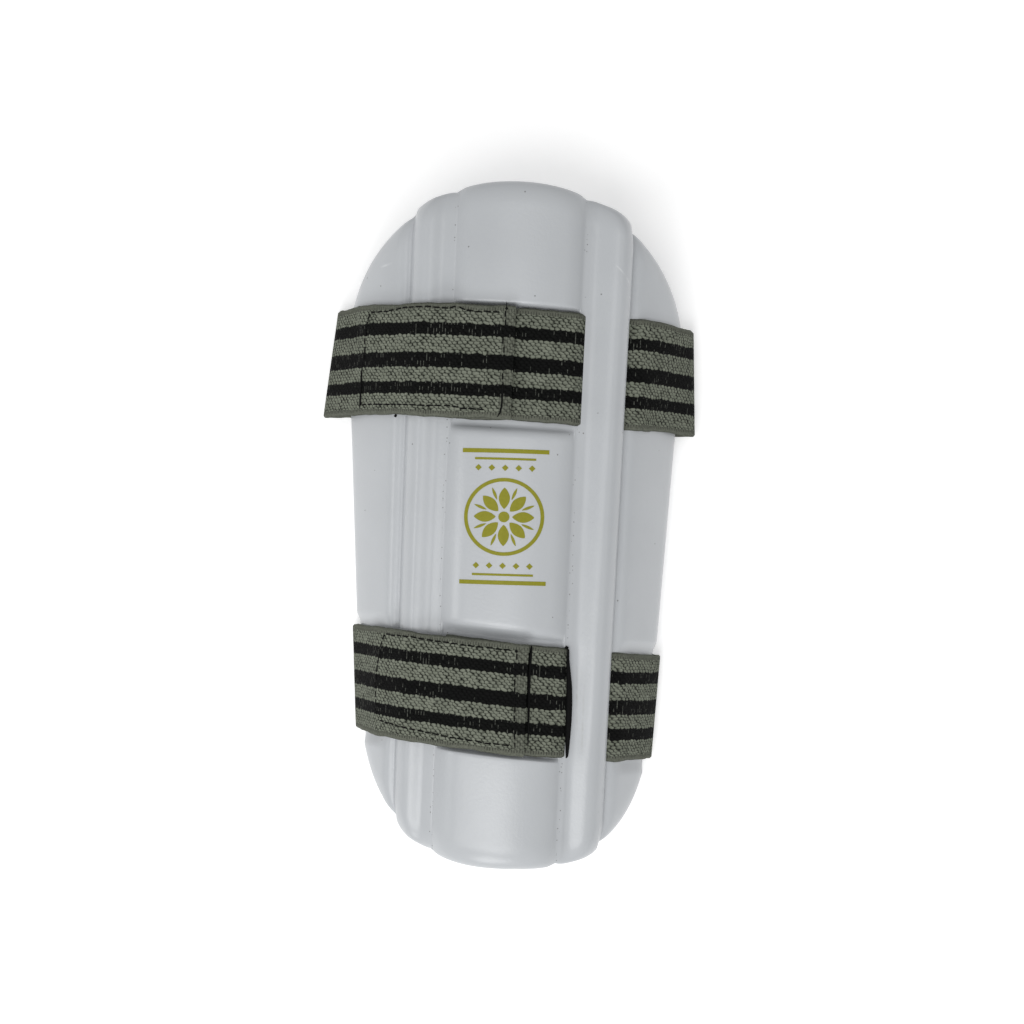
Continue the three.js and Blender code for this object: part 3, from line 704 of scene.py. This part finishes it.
def ribbon_mesh(ribbon):
    """The closed strip: its outer face, its inner face and the hem's fold."""
    in_hem = np.clip((np.arange(len(ribbon.along)) - ribbon.hem_from) / 2.0, 0, 1)
    inner = ribbon.inner + ribbon.outward * (ribbon.rounding[:, None] - STRAP_THICKNESS * in_hem)[..., None]
    from_end = ribbon.length - ribbon.along
    puff = HEM_PUFF["height"] * bell(from_end - HEM_PUFF["from_end"], HEM_PUFF["width"])
    outer = ribbon.outer + ribbon.outward * puff[:, None]
    ring = np.concatenate([outer, inner[::-1]])
    return ring.reshape(-1, 3), tube_faces(ring), flat_map(from_end, ribbon.positions + STRAP_WIDTH / 2)


def patch_mesh(ribbon):
    start, end = ribbon.hooked_from, ribbon.hem_from
    keep = np.abs(ribbon.positions) <= PATCH_WIDTH / 2
    inner = ribbon.inner[keep][:, start:end]
    outward = ribbon.outward[keep][:, start:end]
    top = inner - outward * (SEAT_CLEARANCE * 0.6)
    bottom = inner - outward * PATCH_STACK
    ring = np.concatenate([top, bottom[::-1]])
    return ring.reshape(-1, 3), tube_faces(ring), flat_map(ribbon.along[start:end], ribbon.positions[keep])


def passage_cutter(strap):
    half = STRAP_WIDTH / 2 + SLIT_SIDE_CLEARANCE
    lines = []
    for across in np.linspace(-half, half, CROSS_LINES):
        start = around_of(strap, across, SLIT_IN_START - SLIT_SIDE_CLEARANCE)
        end = around_of(strap, across, SLIT_OUT_END + SLIT_SIDE_CLEARANCE)
        lines.append(resample(over_shell(strap, across, start, end, 0.5, threaded_height), 60))
    lines = np.array(lines)
    outward = outward_of(lines)
    top = lines + outward * (STRAP_THICKNESS + SLIT_CLEARANCE)
    bottom = lines - outward * SLIT_CLEARANCE
    ring = np.concatenate([top, bottom[::-1]])
    return ring.reshape(-1, 3), tube_faces(ring)


# Materials

FOAM_DARK = (0.472, 0.49, 0.509)
FOAM_LIGHT = (0.511, 0.53, 0.549)
PORE_LINE = {"past": 1.5, "width": 1.3}


class Value:
    """A number in a node tree, worked on with plain arithmetic."""

    def __init__(self, nodes, socket):
        self.nodes = nodes
        self.socket = socket

    def __add__(self, other):
        return self.nodes.math("ADD", self, other)

    def __radd__(self, other):
        return self.nodes.math("ADD", other, self)

    def __sub__(self, other):
        return self.nodes.math("SUBTRACT", self, other)

    def __rsub__(self, other):
        return self.nodes.math("SUBTRACT", other, self)

    def __mul__(self, other):
        return self.nodes.math("MULTIPLY", self, other)

    def __truediv__(self, other):
        return self.nodes.math("DIVIDE", self, other)

    def __pow__(self, other):
        return self.nodes.math("POWER", self, other)

    def __abs__(self):
        return self.nodes.math("ABSOLUTE", self)

    def __gt__(self, other):
        return self.nodes.math("GREATER_THAN", self, other)

    def __lt__(self, other):
        return self.nodes.math("LESS_THAN", self, other)

    def held(self):
        """The same number, kept between 0 and 1."""
        self.socket.node.use_clamp = True
        return self


class Nodes:
    """A material's node tree, with short calls for the few nodes used here."""

    def __init__(self, name):
        self.material = bpy.data.materials.new(name)
        self.material.use_nodes = True
        self.tree = self.material.node_tree
        self.shader = self.tree.nodes["Principled BSDF"]

    def add(self, kind, **values):
        node = self.tree.nodes.new(kind)
        for key, value in values.items():
            setattr(node, key, value)
        return node

    def feed(self, value, socket):
        """Give a socket a number, a colour or what another node makes."""
        if isinstance(value, (int, float)):
            socket.default_value = value
        elif isinstance(value, tuple):
            socket.default_value = (*value, 1)
        else:
            self.tree.links.new(value.socket if isinstance(value, Value) else value, socket)

    def math(self, operation, *values):
        node = self.add("ShaderNodeMath", operation=operation)
        for socket, value in zip(node.inputs, values):
            self.feed(value, socket)
        return Value(self, node.outputs[0])

    def mix(self, factor, first, second):
        node = self.add("ShaderNodeMix", data_type="RGBA")
        self.feed(factor, node.inputs[0])
        self.feed(first, node.inputs[6])
        self.feed(second, node.inputs[7])
        return node.outputs[2]

    def object_place(self):
        return self.add("ShaderNodeTexCoord").outputs["Object"]

    def laid_place(self):
        """Both numbers of the flat map, in millimetres: around and along, or on a strap along and across."""
        split = self.add("ShaderNodeSeparateXYZ")
        self.feed(self.add("ShaderNodeUVMap", uv_map="strip").outputs[0], split.inputs[0])
        return Value(self, split.outputs[0]) / MM, Value(self, split.outputs[1]) / MM

    def texture(self, kind, place, scale):
        node = self.add(kind)
        self.feed(place, node.inputs["Vector"])
        node.inputs["Scale"].default_value = scale
        return node

    def noise(self, place, scale, detail=2):
        node = self.texture("ShaderNodeTexNoise", place, scale)
        node.inputs["Detail"].default_value = detail
        return Value(self, node.outputs["Fac"])

    def dots(self, place, scale, size):
        """Scattered dots, and a random number for each."""
        cells = self.texture("ShaderNodeTexVoronoi", place, scale)
        pick = self.add("ShaderNodeSeparateColor")
        self.feed(cells.outputs["Color"], pick.inputs[0])
        return Value(self, cells.outputs["Distance"]) < size, Value(self, pick.outputs[0])

    def bump(self, height, distance, strength, under=None):
        node = self.add("ShaderNodeBump")
        self.feed(height, node.inputs["Height"])
        node.inputs["Distance"].default_value = distance
        node.inputs["Strength"].default_value = strength
        if under is not None:
            self.feed(under, node.inputs["Normal"])
        return node.outputs["Normal"]

    def finish(self, color, normal=None, **values):
        self.feed(color, self.shader.inputs["Base Color"])
        if normal is not None:
            self.feed(normal, self.shader.inputs["Normal"])
        for key, value in values.items():
            self.feed(value, self.shader.inputs[key.replace("_", " ").title().replace("Ior", "IOR")])
        return self.material


# Marks on the skin, around and along: light scuffs near the elbow end, then darker streaks along the crease
# beside the lower slit
SKIN_MARKS = (
    {"start": (34.6, 94.9), "end": (37.2, 92.1), "width": 0.4, "tone": (0.62, 0.635, 0.65)},
    {"start": (37.2, 92.1), "end": (40.6, 88.6), "width": 0.7, "tone": (0.6, 0.615, 0.63)},
    {"start": (-52.2, 94.2), "end": (-46.6, 95.0), "width": 0.6, "tone": (0.63, 0.645, 0.66)},
    {"start": (27.0, -50.0), "end": (27.6, -72.0), "width": 0.5, "tone": (0.4, 0.41, 0.41)},
    {"start": (29.3, -56.0), "end": (29.0, -80.0), "width": 0.4, "tone": (0.43, 0.44, 0.44)},
)


def foam_material():
    """Satin foam skin: a faint grain, pores along both seams of the panel, scattered specks, light scuffs
    near the elbow end and darker streaks along the crease beside the lower slit.
    """
    nodes = Nodes("foam_skin")
    place = nodes.object_place()
    around, y = nodes.laid_place()
    soil = (nodes.noise(place, 38, detail=4) * 1.6 - 0.3).held()
    color = nodes.mix(soil, FOAM_DARK, FOAM_LIGHT)
    from_seam = abs(abs(around - y * SKEW_SLOPE) - (PANEL_HALF_WIDTH + PORE_LINE["past"]))
    near_seam = (1 - from_seam / PORE_LINE["width"]).held()
    specks, pick = nodes.dots(place, 210, 0.06)
    specks = specks * (pick > 0.72)
    pores, pick = nodes.dots(place, 1100, 0.24)
    pores = pores * (near_seam * 0.42 + pick * 0.72 > 0.84)
    pits = nodes.math("MAXIMUM", specks, pores)
    color = nodes.mix(pits * 0.75, color, (0.12, 0.12, 0.11))
    streaks = (nodes.noise(place, 420) * 2.2 - 0.5).held()
    for mark in SKIN_MARKS:
        (x0, y0), (x1, y1) = mark["start"], mark["end"]
        size = math.hypot(x1 - x0, y1 - y0)
        way_x, way_y = (x1 - x0) / size, (y1 - y0) / size
        along = (around - x0) * way_x + (y - y0) * way_y
        across = (y - y0) * way_x - (around - x0) * way_y
        end_fade = (1 - abs(along - size / 2) / (size * 0.55)).held()
        side_fade = (1 - abs(across) / mark["width"]).held()
        color = nodes.mix(side_fade * end_fade ** 0.4 * streaks, color, mark["tone"])
    grain = nodes.bump(nodes.noise(place, 900, detail=3), 0.0001, 0.55)
    dents = nodes.bump(nodes.noise(place, 70), 0.0006, 0.12, under=grain)
    normal = nodes.bump(1 - pits, 0.0001, 0.5, under=dents)
    return nodes.finish(color, normal, roughness=0.28, ior=1.5)


STRIPES = ((0.17, 0.285), (0.435, 0.555), (0.70, 0.80))
FLOAT_LENGTH = 2.0
ROW_PITCH = 1.05
SELVEDGE = 2.1
SELVEDGE_PITCH = 0.95
FLECK_PITCH = (1.1, 1.3)


def elastic_material():
    """Woven elastic: staggered oval floats, black stripes of whole floats, ribbed selvedges, a finer hem,
    with painted shade between the floats and painted light on their crowns.
    """
    nodes = Nodes("striped_elastic")
    along, across = nodes.laid_place()
    place = nodes.object_place()
    wander = nodes.noise(place, 420, detail=3) * 2.6 - 1.3
    sway = nodes.noise(place, 330, detail=3) * 1.6 - 0.8

    def floats(offset):
        """Every other row of floats: their rounded height, and the middle of the row across the strap."""
        v = (across + sway) * (1 / (2 * ROW_PITCH)) + offset
        row = nodes.math("ROUND", v)
        dv = v - row
        u = dv * -0.3 + ((along + wander) * (1 / FLOAT_LENGTH) + offset)
        du = u - nodes.math("ROUND", u)
        return 1 - (abs(du * 2.0) ** 2.2 + abs(dv * 3.1) ** 2.2), (row - offset) * (2 * ROW_PITCH)

    first, first_centre = floats(0.0)
    second, second_centre = floats(0.5)
    bump = nodes.math("MAXIMUM", nodes.math("MAXIMUM", first, second), 0.0) ** 0.7
    centre = (second > first) * (second_centre - first_centre) + first_centre
    share = 1 - centre / STRAP_WIDTH
    black = sum((share > start) * (share < end) for start, end in STRIPES)
    fine = nodes.noise(place, 1400)
    patchy = nodes.noise(place, 500) * 1.8 - 1.25
    light = nodes.mix(nodes.noise(place, 230, detail=3), (0.125, 0.137, 0.107), (0.245, 0.262, 0.21))
    # Painted shade and light: the green darkens into the gaps between floats and brightens on their crowns,
    # with noise over it
    painted_float_shade = (fine * 0.5 + (bump * 1.35 + patchy)).held()
    green = nodes.mix(painted_float_shade, (0.012, 0.0135, 0.0105), light)

    cell = nodes.add("ShaderNodeCombineXYZ")
    for value, pitch, socket in zip((along, across), FLECK_PITCH, cell.inputs):
        nodes.feed(nodes.math("FLOOR", value / pitch), socket)
    pick = nodes.add("ShaderNodeTexWhiteNoise", noise_dimensions="2D")
    nodes.feed(cell.outputs[0], pick.inputs["Vector"])
    tick = abs(nodes.math("FRACT", along / FLECK_PITCH[0]) - 0.5) < 0.13
    chance = nodes.noise(place, 45) * -1.1 + 1.36
    fleck = tick * (Value(nodes, pick.outputs["Value"]) > chance) * (fine * 2.5 - 0.7).held()
    # Painted shade on the black stripes too: darker between the floats, a little lighter on their crowns
    dark = nodes.mix(bump, (0.0015, 0.0015, 0.0015), (0.0065, 0.0068, 0.0064))
    dark = nodes.mix(fleck, dark, (0.1, 0.105, 0.09))
    color = nodes.mix(black, green, dark)

    edge = nodes.math("MINIMUM", across, STRAP_WIDTH - across)
    selvedge = edge + wander * 0.4 < SELVEDGE
    rib = abs(nodes.math("FRACT", along / SELVEDGE_PITCH) - 0.5)
    nick = (rib < 0.13) * (edge + sway * 1.5 > SELVEDGE - 0.9)
    side = nodes.mix((fine * 1.6 - 0.3).held(), (0.078, 0.083, 0.066), (0.155, 0.163, 0.132))
    side = nodes.mix(nick * 0.8, side, (0.02, 0.021, 0.018))
    color = nodes.mix(selvedge, color, side)
    hem = along + sway * 0.6 < HEM_LENGTH
    color = nodes.mix(hem * (1 - black) * 0.6, color, side)
    relief = (1 - black * 0.5) * (1 - selvedge * 0.8)
    normal = nodes.bump(fine * 0.25 + bump * relief, 0.0004, 0.8)
    return nodes.finish(color, normal, roughness=0.9, specular_ior_level=0.08)


def thread_material():
    nodes = Nodes("black_thread")
    tone = nodes.noise(nodes.object_place(), 1500)
    color = nodes.mix(tone, (0.002, 0.002, 0.002), (0.008, 0.008, 0.008))
    return nodes.finish(color, roughness=0.85, specular_ior_level=0.1)


def hook_material():
    nodes = Nodes("hook_tape")
    hooks = nodes.texture("ShaderNodeTexVoronoi", nodes.object_place(), 900).outputs["Distance"]
    color = nodes.mix(hooks, (0.03, 0.03, 0.03), (0.008, 0.008, 0.008))
    return nodes.finish(color, nodes.bump(hooks, 0.0005, 0.8), roughness=0.7)


def print_material():
    """Olive ink with a slightly uneven cover."""
    nodes = Nodes("olive_ink")
    tone = nodes.noise(nodes.object_place(), 900, detail=3)
    color = nodes.mix(tone, (0.21, 0.205, 0.006), (0.29, 0.275, 0.02))
    return nodes.finish(color, roughness=0.5, specular_ior_level=0.25)


def floor_material():
    """A pale light table: its own glow keeps shadows on it faint."""
    nodes = Nodes("pale_floor")
    tone = nodes.noise(nodes.object_place(), 6)
    color = nodes.mix(tone, (0.9, 0.9, 0.9), (0.92, 0.92, 0.92))
    return nodes.finish(color, roughness=0.9, emission_color=(1, 1, 1), emission_strength=FLOOR_GLOW)


def dress(piece, material, body="root"):
    piece.data.materials.clear()
    piece.data.materials.append(material)
    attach(piece, body)


# Camera and light

CAMERA_PLACE = (17.7, -8.3, 593.8)
CAMERA_ROLL = 1.67
FOCAL_PIXELS = 1538.0
FRAME_PIXELS = 1024
AXIS_PIXEL = (551.9, 552.7)


def make_camera():
    data = bpy.data.cameras.new("camera")
    data.sensor_width = 36
    data.lens = 36 * FOCAL_PIXELS / FRAME_PIXELS
    data.shift_x = -(AXIS_PIXEL[0] - FRAME_PIXELS / 2) / FRAME_PIXELS
    data.shift_y = (AXIS_PIXEL[1] - FRAME_PIXELS / 2) / FRAME_PIXELS
    camera = bpy.data.objects.new("camera", data)
    camera.location = [value * MM for value in CAMERA_PLACE]
    camera.rotation_euler = (0, 0, CAMERA_ROLL * DEGREE)
    bpy.context.scene.collection.objects.link(camera)
    bpy.context.scene.camera = camera


def area_light(name, place, target, size, power):
    data = bpy.data.lights.new(name, "AREA")
    data.shape = "DISK"
    data.size = size
    data.energy = power
    light = bpy.data.objects.new(name, data)
    light.location = place
    direction = np.array(target) - np.array(place)
    flat = math.hypot(direction[0], direction[1])
    turn = math.atan2(direction[1], direction[0]) - math.pi / 2
    light.rotation_euler = (math.atan2(flat, -direction[2]), 0, turn)
    bpy.context.scene.collection.objects.link(light)


# Each softbox: side it stands on and height over the floor in degrees, size in metres, power in watts
SOFTBOXES = (
    {"name": "overhead", "side": 0, "height": 88, "size": 0.7, "power": 1.6},
    {"name": "key", "side": 262, "height": 65, "size": 0.6, "power": 4.5},
    {"name": "high_left", "side": 222, "height": 60, "size": 0.5, "power": 1.9},
    {"name": "left", "side": 188, "height": 36, "size": 0.3, "power": 1.3},
    {"name": "low", "side": 262, "height": 33, "size": 0.5, "power": 3.6},
    {"name": "fill", "side": 0, "height": 50, "size": 0.6, "power": 0.5},
)
SOFTBOX_DISTANCE = 1.4
WORLD_STRENGTH = 0.43
FLOOR_GLOW = 0.32


def make_light():
    for box in SOFTBOXES:
        side, height = box["side"] * DEGREE, box["height"] * DEGREE
        flat = SOFTBOX_DISTANCE * math.cos(height)
        place = (flat * math.cos(side), flat * math.sin(side), SOFTBOX_DISTANCE * math.sin(height))
        area_light(box["name"], place, (0, 0, 0.03), box["size"], box["power"])
    world = bpy.data.worlds.new("world")
    world.use_nodes = True
    background = world.node_tree.nodes["Background"]
    background.inputs[0].default_value = (1, 1, 1, 1)
    background.inputs[1].default_value = WORLD_STRENGTH
    bpy.context.scene.world = world
    bpy.context.scene.view_settings.view_transform = "Standard"


def make_floor():
    size = 3.0
    corners = [(-size, -size, 0), (size, -size, 0), (size, size, 0), (-size, size, 0)]
    floor = mesh_object("floor", np.array(corners) / MM, [[0, 1, 2, 3]], smooth=False)
    floor.data.materials.append(floor_material())


make_camera()
make_light()
make_floor()


# Shell

shell_points, shell_faces, shell_uv = shell_mesh()
SHIFT = frame_shift(shell_points)
shell = mesh_object("moulded_shell_skin", shell_points + SHIFT, shell_faces, shell_uv)
for strap in STRAPS:
    cutter_points, cutter_faces = passage_cutter(strap)
    cutter = mesh_object("cutter", cutter_points + SHIFT, cutter_faces)
    cut = shell.modifiers.new("passage", "BOOLEAN")
    cut.operation = "DIFFERENCE"
    cut.solver = "MANIFOLD"
    cut.object = cutter
    bpy.context.view_layer.objects.active = shell
    with bpy.context.temp_override(object=shell, active_object=shell):
        bpy.ops.object.modifier_apply(modifier=cut.name)
    bpy.data.objects.remove(cutter)
shell.data.polygons.foreach_set("use_smooth", [True] * len(shell.data.polygons))
dress(shell, foam_material())
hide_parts("moulded_shell")


# Straps and hook patches

elastic = elastic_material()
hooks = hook_material()
DRESSED = (
    {"solid": "strap", "name": "strap_weave", "mesh": ribbon_mesh, "slot": "strap_elastic", "look": elastic},
    {"solid": "hook_patch", "name": "hook_tape", "mesh": patch_mesh, "slot": "hook_tape", "look": hooks},
)
ribbons = {}
for strap in STRAPS:
    ribbon = Ribbon(strap)
    ribbons[strap["name"]] = ribbon
    for kind in DRESSED:
        points, faces, uv = kind["mesh"](ribbon)
        piece = mesh_object(f"{strap['name']}_{kind['name']}", points + SHIFT, faces, uv)
        dress(piece, kind["look"])
        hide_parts(f"{strap['name']}_{kind['solid']}")


class Gathered:
    """Many small parts put together as one piece."""

    def __init__(self):
        self.points = []
        self.faces = []
        self.count = 0

    def put(self, points, faces):
        self.points.append(points)
        self.faces += [[corner + self.count for corner in face] for face in faces]
        self.count += len(points)

    def piece(self, name, slot):
        return mesh_object(name, np.concatenate(self.points) + SHIFT, self.faces)


# Thread

THREAD_SIDES = 6


def thread_tube(path, radius):
    """Points and faces of one closed bit of thread along a path."""
    path = np.asarray(path, dtype=float)
    run = np.gradient(path, axis=0)
    run /= np.linalg.norm(run, axis=1)[:, None] + 1e-12
    side = np.cross(run, [0.3, 0.2, 1.0])
    side /= np.linalg.norm(side, axis=1)[:, None] + 1e-12
    up = np.cross(side, run)
    turn = (2 * np.pi * np.arange(THREAD_SIDES) / THREAD_SIDES)[None, :, None]
    share = np.linspace(0, 1, len(path))
    taper = radius * np.sqrt(np.clip(1 - (2 * share - 1) ** 8, 0.05, 1))
    rings = path[:, None] + taper[:, None, None] * (np.cos(turn) * side[:, None] + np.sin(turn) * up[:, None])
    faces = []
    for ring in range(len(path) - 1):
        here = ring * THREAD_SIDES
        for corner in range(THREAD_SIDES):
            following = (corner + 1) % THREAD_SIDES
            near, far = here + corner, here + following
            faces.append([near, far, far + THREAD_SIDES, near + THREAD_SIDES])
    faces.append(list(range(THREAD_SIDES))[::-1])
    faces.append([(len(path) - 1) * THREAD_SIDES + corner for corner in range(THREAD_SIDES)])
    return rings.reshape(-1, 3), faces


STITCH = {"length": 3.0, "gap": 0.15, "radius": 0.28, "dip": -0.25, "lift": 0.14}

# Seams as places on the strap: distance from its free end, and from its middle line towards the elbow
UPPER_SEAMS = (
    ((58.3, 17.2), (49.8, 17.3), (43.3, 18.4), (32.2, 18.5), (27.1, 18.3), (23.8, 18.0), (21.2, 18.7),
     (18.6, 17.9), (14.9, 17.4), (3.7, 17.5)),
    ((62.5, -16.1), (46.4, -16.3), (34.6, -16.3), (21.4, -16.0), (17.6, -16.7), (12.0, -16.9), (8.0, -17.2)),
    ((58.5, 17.0), (61.6, 11.2), (61.1, 5.4), (63.0, -2.9), (63.4, -10.2), (63.7, -17.9)),
    ((3.2, 18.6), (3.4, 15.1), (3.5, 6.0), (3.2, -6.9), (3.3, -15.4)),
)
LOWER_SEAMS = (
    ((56.2, 17.9), (49.3, 17.8), (39.6, 18.0), (27.9, 17.6), (15.4, 17.3), (4.2, 17.4)),
    ((58.4, -14.1), (44.4, -15.1), (30.6, -15.8), (14.6, -16.6), (3.7, -16.4)),
    ((56.3, 17.9), (57.8, 15.9), (61.5, -1.0), (61.0, -5.9), (60.4, -13.6)),
    ((4.2, 17.0), (4.1, 3.8), (3.9, -4.0), (3.5, -12.2), (3.3, -16.3), (2.8, -18.7)),
)

# Where the upper strap is sewn over twice, with a thicker thread
DOUBLE_SEAMS = (
    ((3.2, -6.9), (3.3, -15.4), (3.8, -17.9), (4.7, -19.4)),
    ((63.0, -2.9), (63.4, -10.2), (63.7, -17.9)),
)
DOUBLE_RADIUS = 0.32

# Beads along the lower strap's cut end at the slit and along its hem: distance along from the slit's end,
# across, and half width
SLIT_BEAD = (
    (43.9, 20.3, 0.5), (44.0, 15.8, 0.6), (44.7, 10.9, 0.85), (45.5, 6.0, 1.1), (45.9, 0.2, 1.25),
    (46.1, -6.2, 1.2), (46.1, -12.5, 1.0), (46.2, -18.0, 0.65), (46.2, -20.3, 0.5),
)
SLIT_BEAD_LIFT = 0.62
# At the hem's folded edge the bead is partly black thread and partly painted shadow of the gap between the
# hem and the tab under it
HEM_THREAD_AND_GAP_SHADE = (
    (30.9, 19.9, 0.4), (30.6, 15.6, 0.6), (30.5, 9.2, 0.65), (30.7, 1.0, 0.5), (31.0, -5.2, 0.4),
    (31.3, -17.1, 0.3),
)
HEM_THREAD_AND_GAP_SHADE_LIFT = 0.35

# Knots: distance from the free end (or along, at the slit), across, lift and size
UPPER_KNOT = (3.2, 18.8, 0.2, 0.55)
LOWER_KNOT = (4.3, 17.3, 0.25, 0.6)
SLIT_KNOTS = ((44.1, 20.3, 0.3, 0.75), (46.4, -20.3, 0.3, 0.75))

# Loose ends: where each is held, its first point from there, the step from point to point and its radius
LOOSE_ENDS = (
    {"held": (3.2, 18.8, 0.2), "first": (0, 0, 0), "step": (0, 0.6, 0.15), "radius": 0.14},
    {"held": (44.6, -19.7, -0.3), "first": (0, 0.7, 0), "step": (0.1, -0.45, -0.1), "radius": 0.25},
)
HANGING_KNOT = {"from": (0, -0.9, -0.2), "size": 0.6}


def seam_place(seam, distance):
    return [np.interp(distance, distances(seam), column) for column in np.array(seam).T]


def seam_length(seam):
    return distances(seam)[-1]


def stitch_seam(threads, ribbon, seam, seed):
    """Lock stitches along a seam: each dips into the cloth at its ends and lies a little crooked."""
    rng = np.random.default_rng(seed)
    pitch = STITCH["length"] + STITCH["gap"]
    for number in range(int(seam_length(seam) / pitch)):
        shift = rng.normal(0, 0.13, 2)
        sunk = rng.uniform(-0.16, 0.02)
        path = []
        for step in range(6):
            from_end, across = seam_place(seam, number * pitch + STITCH["length"] * step / 5)
            lift = STITCH["dip"] if step in (0, 5) else STITCH["lift"] + sunk
            path.append(ribbon.place(from_end + shift[0], across + shift[1] * (1 - step / 5), lift))
        threads.put(*thread_tube(path, STITCH["radius"]))


def bead(threads, ribbon, places, rise):
    """A thick black bead along an edge of the strap; at the hem it is partly thread and partly painted shadow
    of the gap beside it.
    """
    table = np.array(places)
    steps = np.linspace(0, len(places) - 1, 40)
    along, across, sizes = (np.interp(steps, np.arange(len(places)), column) for column in table.T)
    path = [ribbon.place(ribbon.length - a, b, rise) for a, b in zip(along, across)]
    threads.put(*thread_tube(path, sizes))


def knot(threads, point, size):
    """A small knot: three short crossed bits of thread."""
    for direction in ((1, 0.3, 0.2), (-0.3, 1, 0.3), (0.5, -0.6, 0.9)):
        way = np.array(direction) / np.linalg.norm(direction) * size
        path = [point - way, point - way * 0.4, point + way * 0.4, point + way]
        threads.put(*thread_tube(path, size * 0.75))


upper_ribbon, lower_ribbon = ribbons["upper"], ribbons["lower"]
threads = Gathered()
for ribbon, seams in ((upper_ribbon, UPPER_SEAMS), (lower_ribbon, LOWER_SEAMS)):
    for seam in seams:
        stitch_seam(threads, ribbon, seam, ribbon.strap["seed"])
for seam in DOUBLE_SEAMS:
    path = [upper_ribbon.place(*seam_place(seam, seam_length(seam) * step / 7), 0.25) for step in range(8)]
    threads.put(*thread_tube(path, DOUBLE_RADIUS))
for loose in LOOSE_ENDS:
    first = upper_ribbon.place(*loose["held"]) + np.array(loose["first"])
    threads.put(*thread_tube([first + np.array(loose["step"]) * step for step in range(5)], loose["radius"]))
hanging = upper_ribbon.place(*LOOSE_ENDS[1]["held"]) + np.array(HANGING_KNOT["from"])
knot(threads, hanging, HANGING_KNOT["size"])
knot(threads, upper_ribbon.place(*UPPER_KNOT[:3]), UPPER_KNOT[3])
knot(threads, lower_ribbon.place(*LOWER_KNOT[:3]), LOWER_KNOT[3])
for along, across, lift, size in SLIT_KNOTS:
    knot(threads, lower_ribbon.place(lower_ribbon.length - along, across, lift), size)
bead(threads, lower_ribbon, SLIT_BEAD, SLIT_BEAD_LIFT)
# The hem's bead also paints the shadow of the gap between the hem and the tab
bead(threads, lower_ribbon, HEM_THREAD_AND_GAP_SHADE, HEM_THREAD_AND_GAP_SHADE_LIFT)
dress(threads.piece("stitching_and_hem_gap_shade", "hook_tape"), thread_material())


# Print on the panel: a plain rosette between bars

PRINT_MIDDLE = (-1.3, 3.9)
PRINT_LIFT = 0.07
ROSETTE = {"ring": 13.2, "ring_width": 1.3, "petals": 8, "core": 1.9}
PETAL = {"near": 2.8, "far": 10.4, "half_width": 1.9}
SEPAL = {"near": 6.448, "far": 11.2, "half_width": 0.5}
BARS = ((23.4, 30.0, 1.5), (20.6, 21.0, 0.8), (-20.6, 21.0, 0.8), (-23.4, 30.0, 1.5))
LOZENGES = {"row": 17.4, "count": 5, "pitch": 4.6, "half": 1.15}


class Print(Gathered):
    """Flat figures laid on the shell's face, each a strip between two lines."""

    def strip(self, first, second, lanes):
        share = np.linspace(0, 1, lanes + 1)[:, None, None]
        flat = first[None] * (1 - share) + second[None] * share
        around, y = PRINT_MIDDLE[0] + flat[..., 0], PRINT_MIDDLE[1] + flat[..., 1]
        laid = point_at(around, y, radius_at(y) + face_relief(around, y) + PRINT_LIFT)
        self.put(laid.reshape(-1, 3), grid_faces(lanes + 1, len(first)))

    def ring(self, radius, width, sides=96):
        turn = np.linspace(0, 2 * np.pi, sides + 1)
        circle = np.stack([np.cos(turn), np.sin(turn)], axis=1)
        self.strip(circle * (radius - width / 2), circle * (radius + width / 2), lanes=2)

    def petal(self, turn, near, far, half_width):
        share = np.linspace(0, 1, 17)
        side = half_width * np.sin(np.pi * share) ** 0.8
        way, across = np.array([math.cos(turn), math.sin(turn)]), np.array([-math.sin(turn), math.cos(turn)])
        middle = (near + (far - near) * share)[:, None] * way
        self.strip(middle - side[:, None] * across, middle + side[:, None] * across, lanes=6)

    def level(self, x, y, rise):
        """A figure along x, as far above the level y as below it."""
        self.strip(np.stack([x, y - rise], axis=1), np.stack([x, y + rise], axis=1), lanes=2)


figures = Print()
figures.ring(ROSETTE["ring"], ROSETTE["ring_width"])
figures.ring(ROSETTE["core"] / 2, ROSETTE["core"], sides=32)
for number in range(ROSETTE["petals"]):
    turn = 2 * math.pi * number / ROSETTE["petals"]
    figures.petal(turn, **PETAL)
    figures.petal(turn + math.pi / ROSETTE["petals"], **SEPAL)
for y, length, height in BARS:
    x = np.linspace(-length / 2, length / 2, 24)
    figures.level(x, y, height / 2 + 0 * x)
share = np.linspace(-1, 1, 9)
for row in (-LOZENGES["row"], LOZENGES["row"]):
    for number in range(LOZENGES["count"]):
        middle = (number - (LOZENGES["count"] - 1) / 2) * LOZENGES["pitch"]
        figures.level(middle + LOZENGES["half"] * share, row, LOZENGES["half"] * (1 - np.abs(share)))
dress(figures.piece("panel_print", "shell_foam"), print_material())
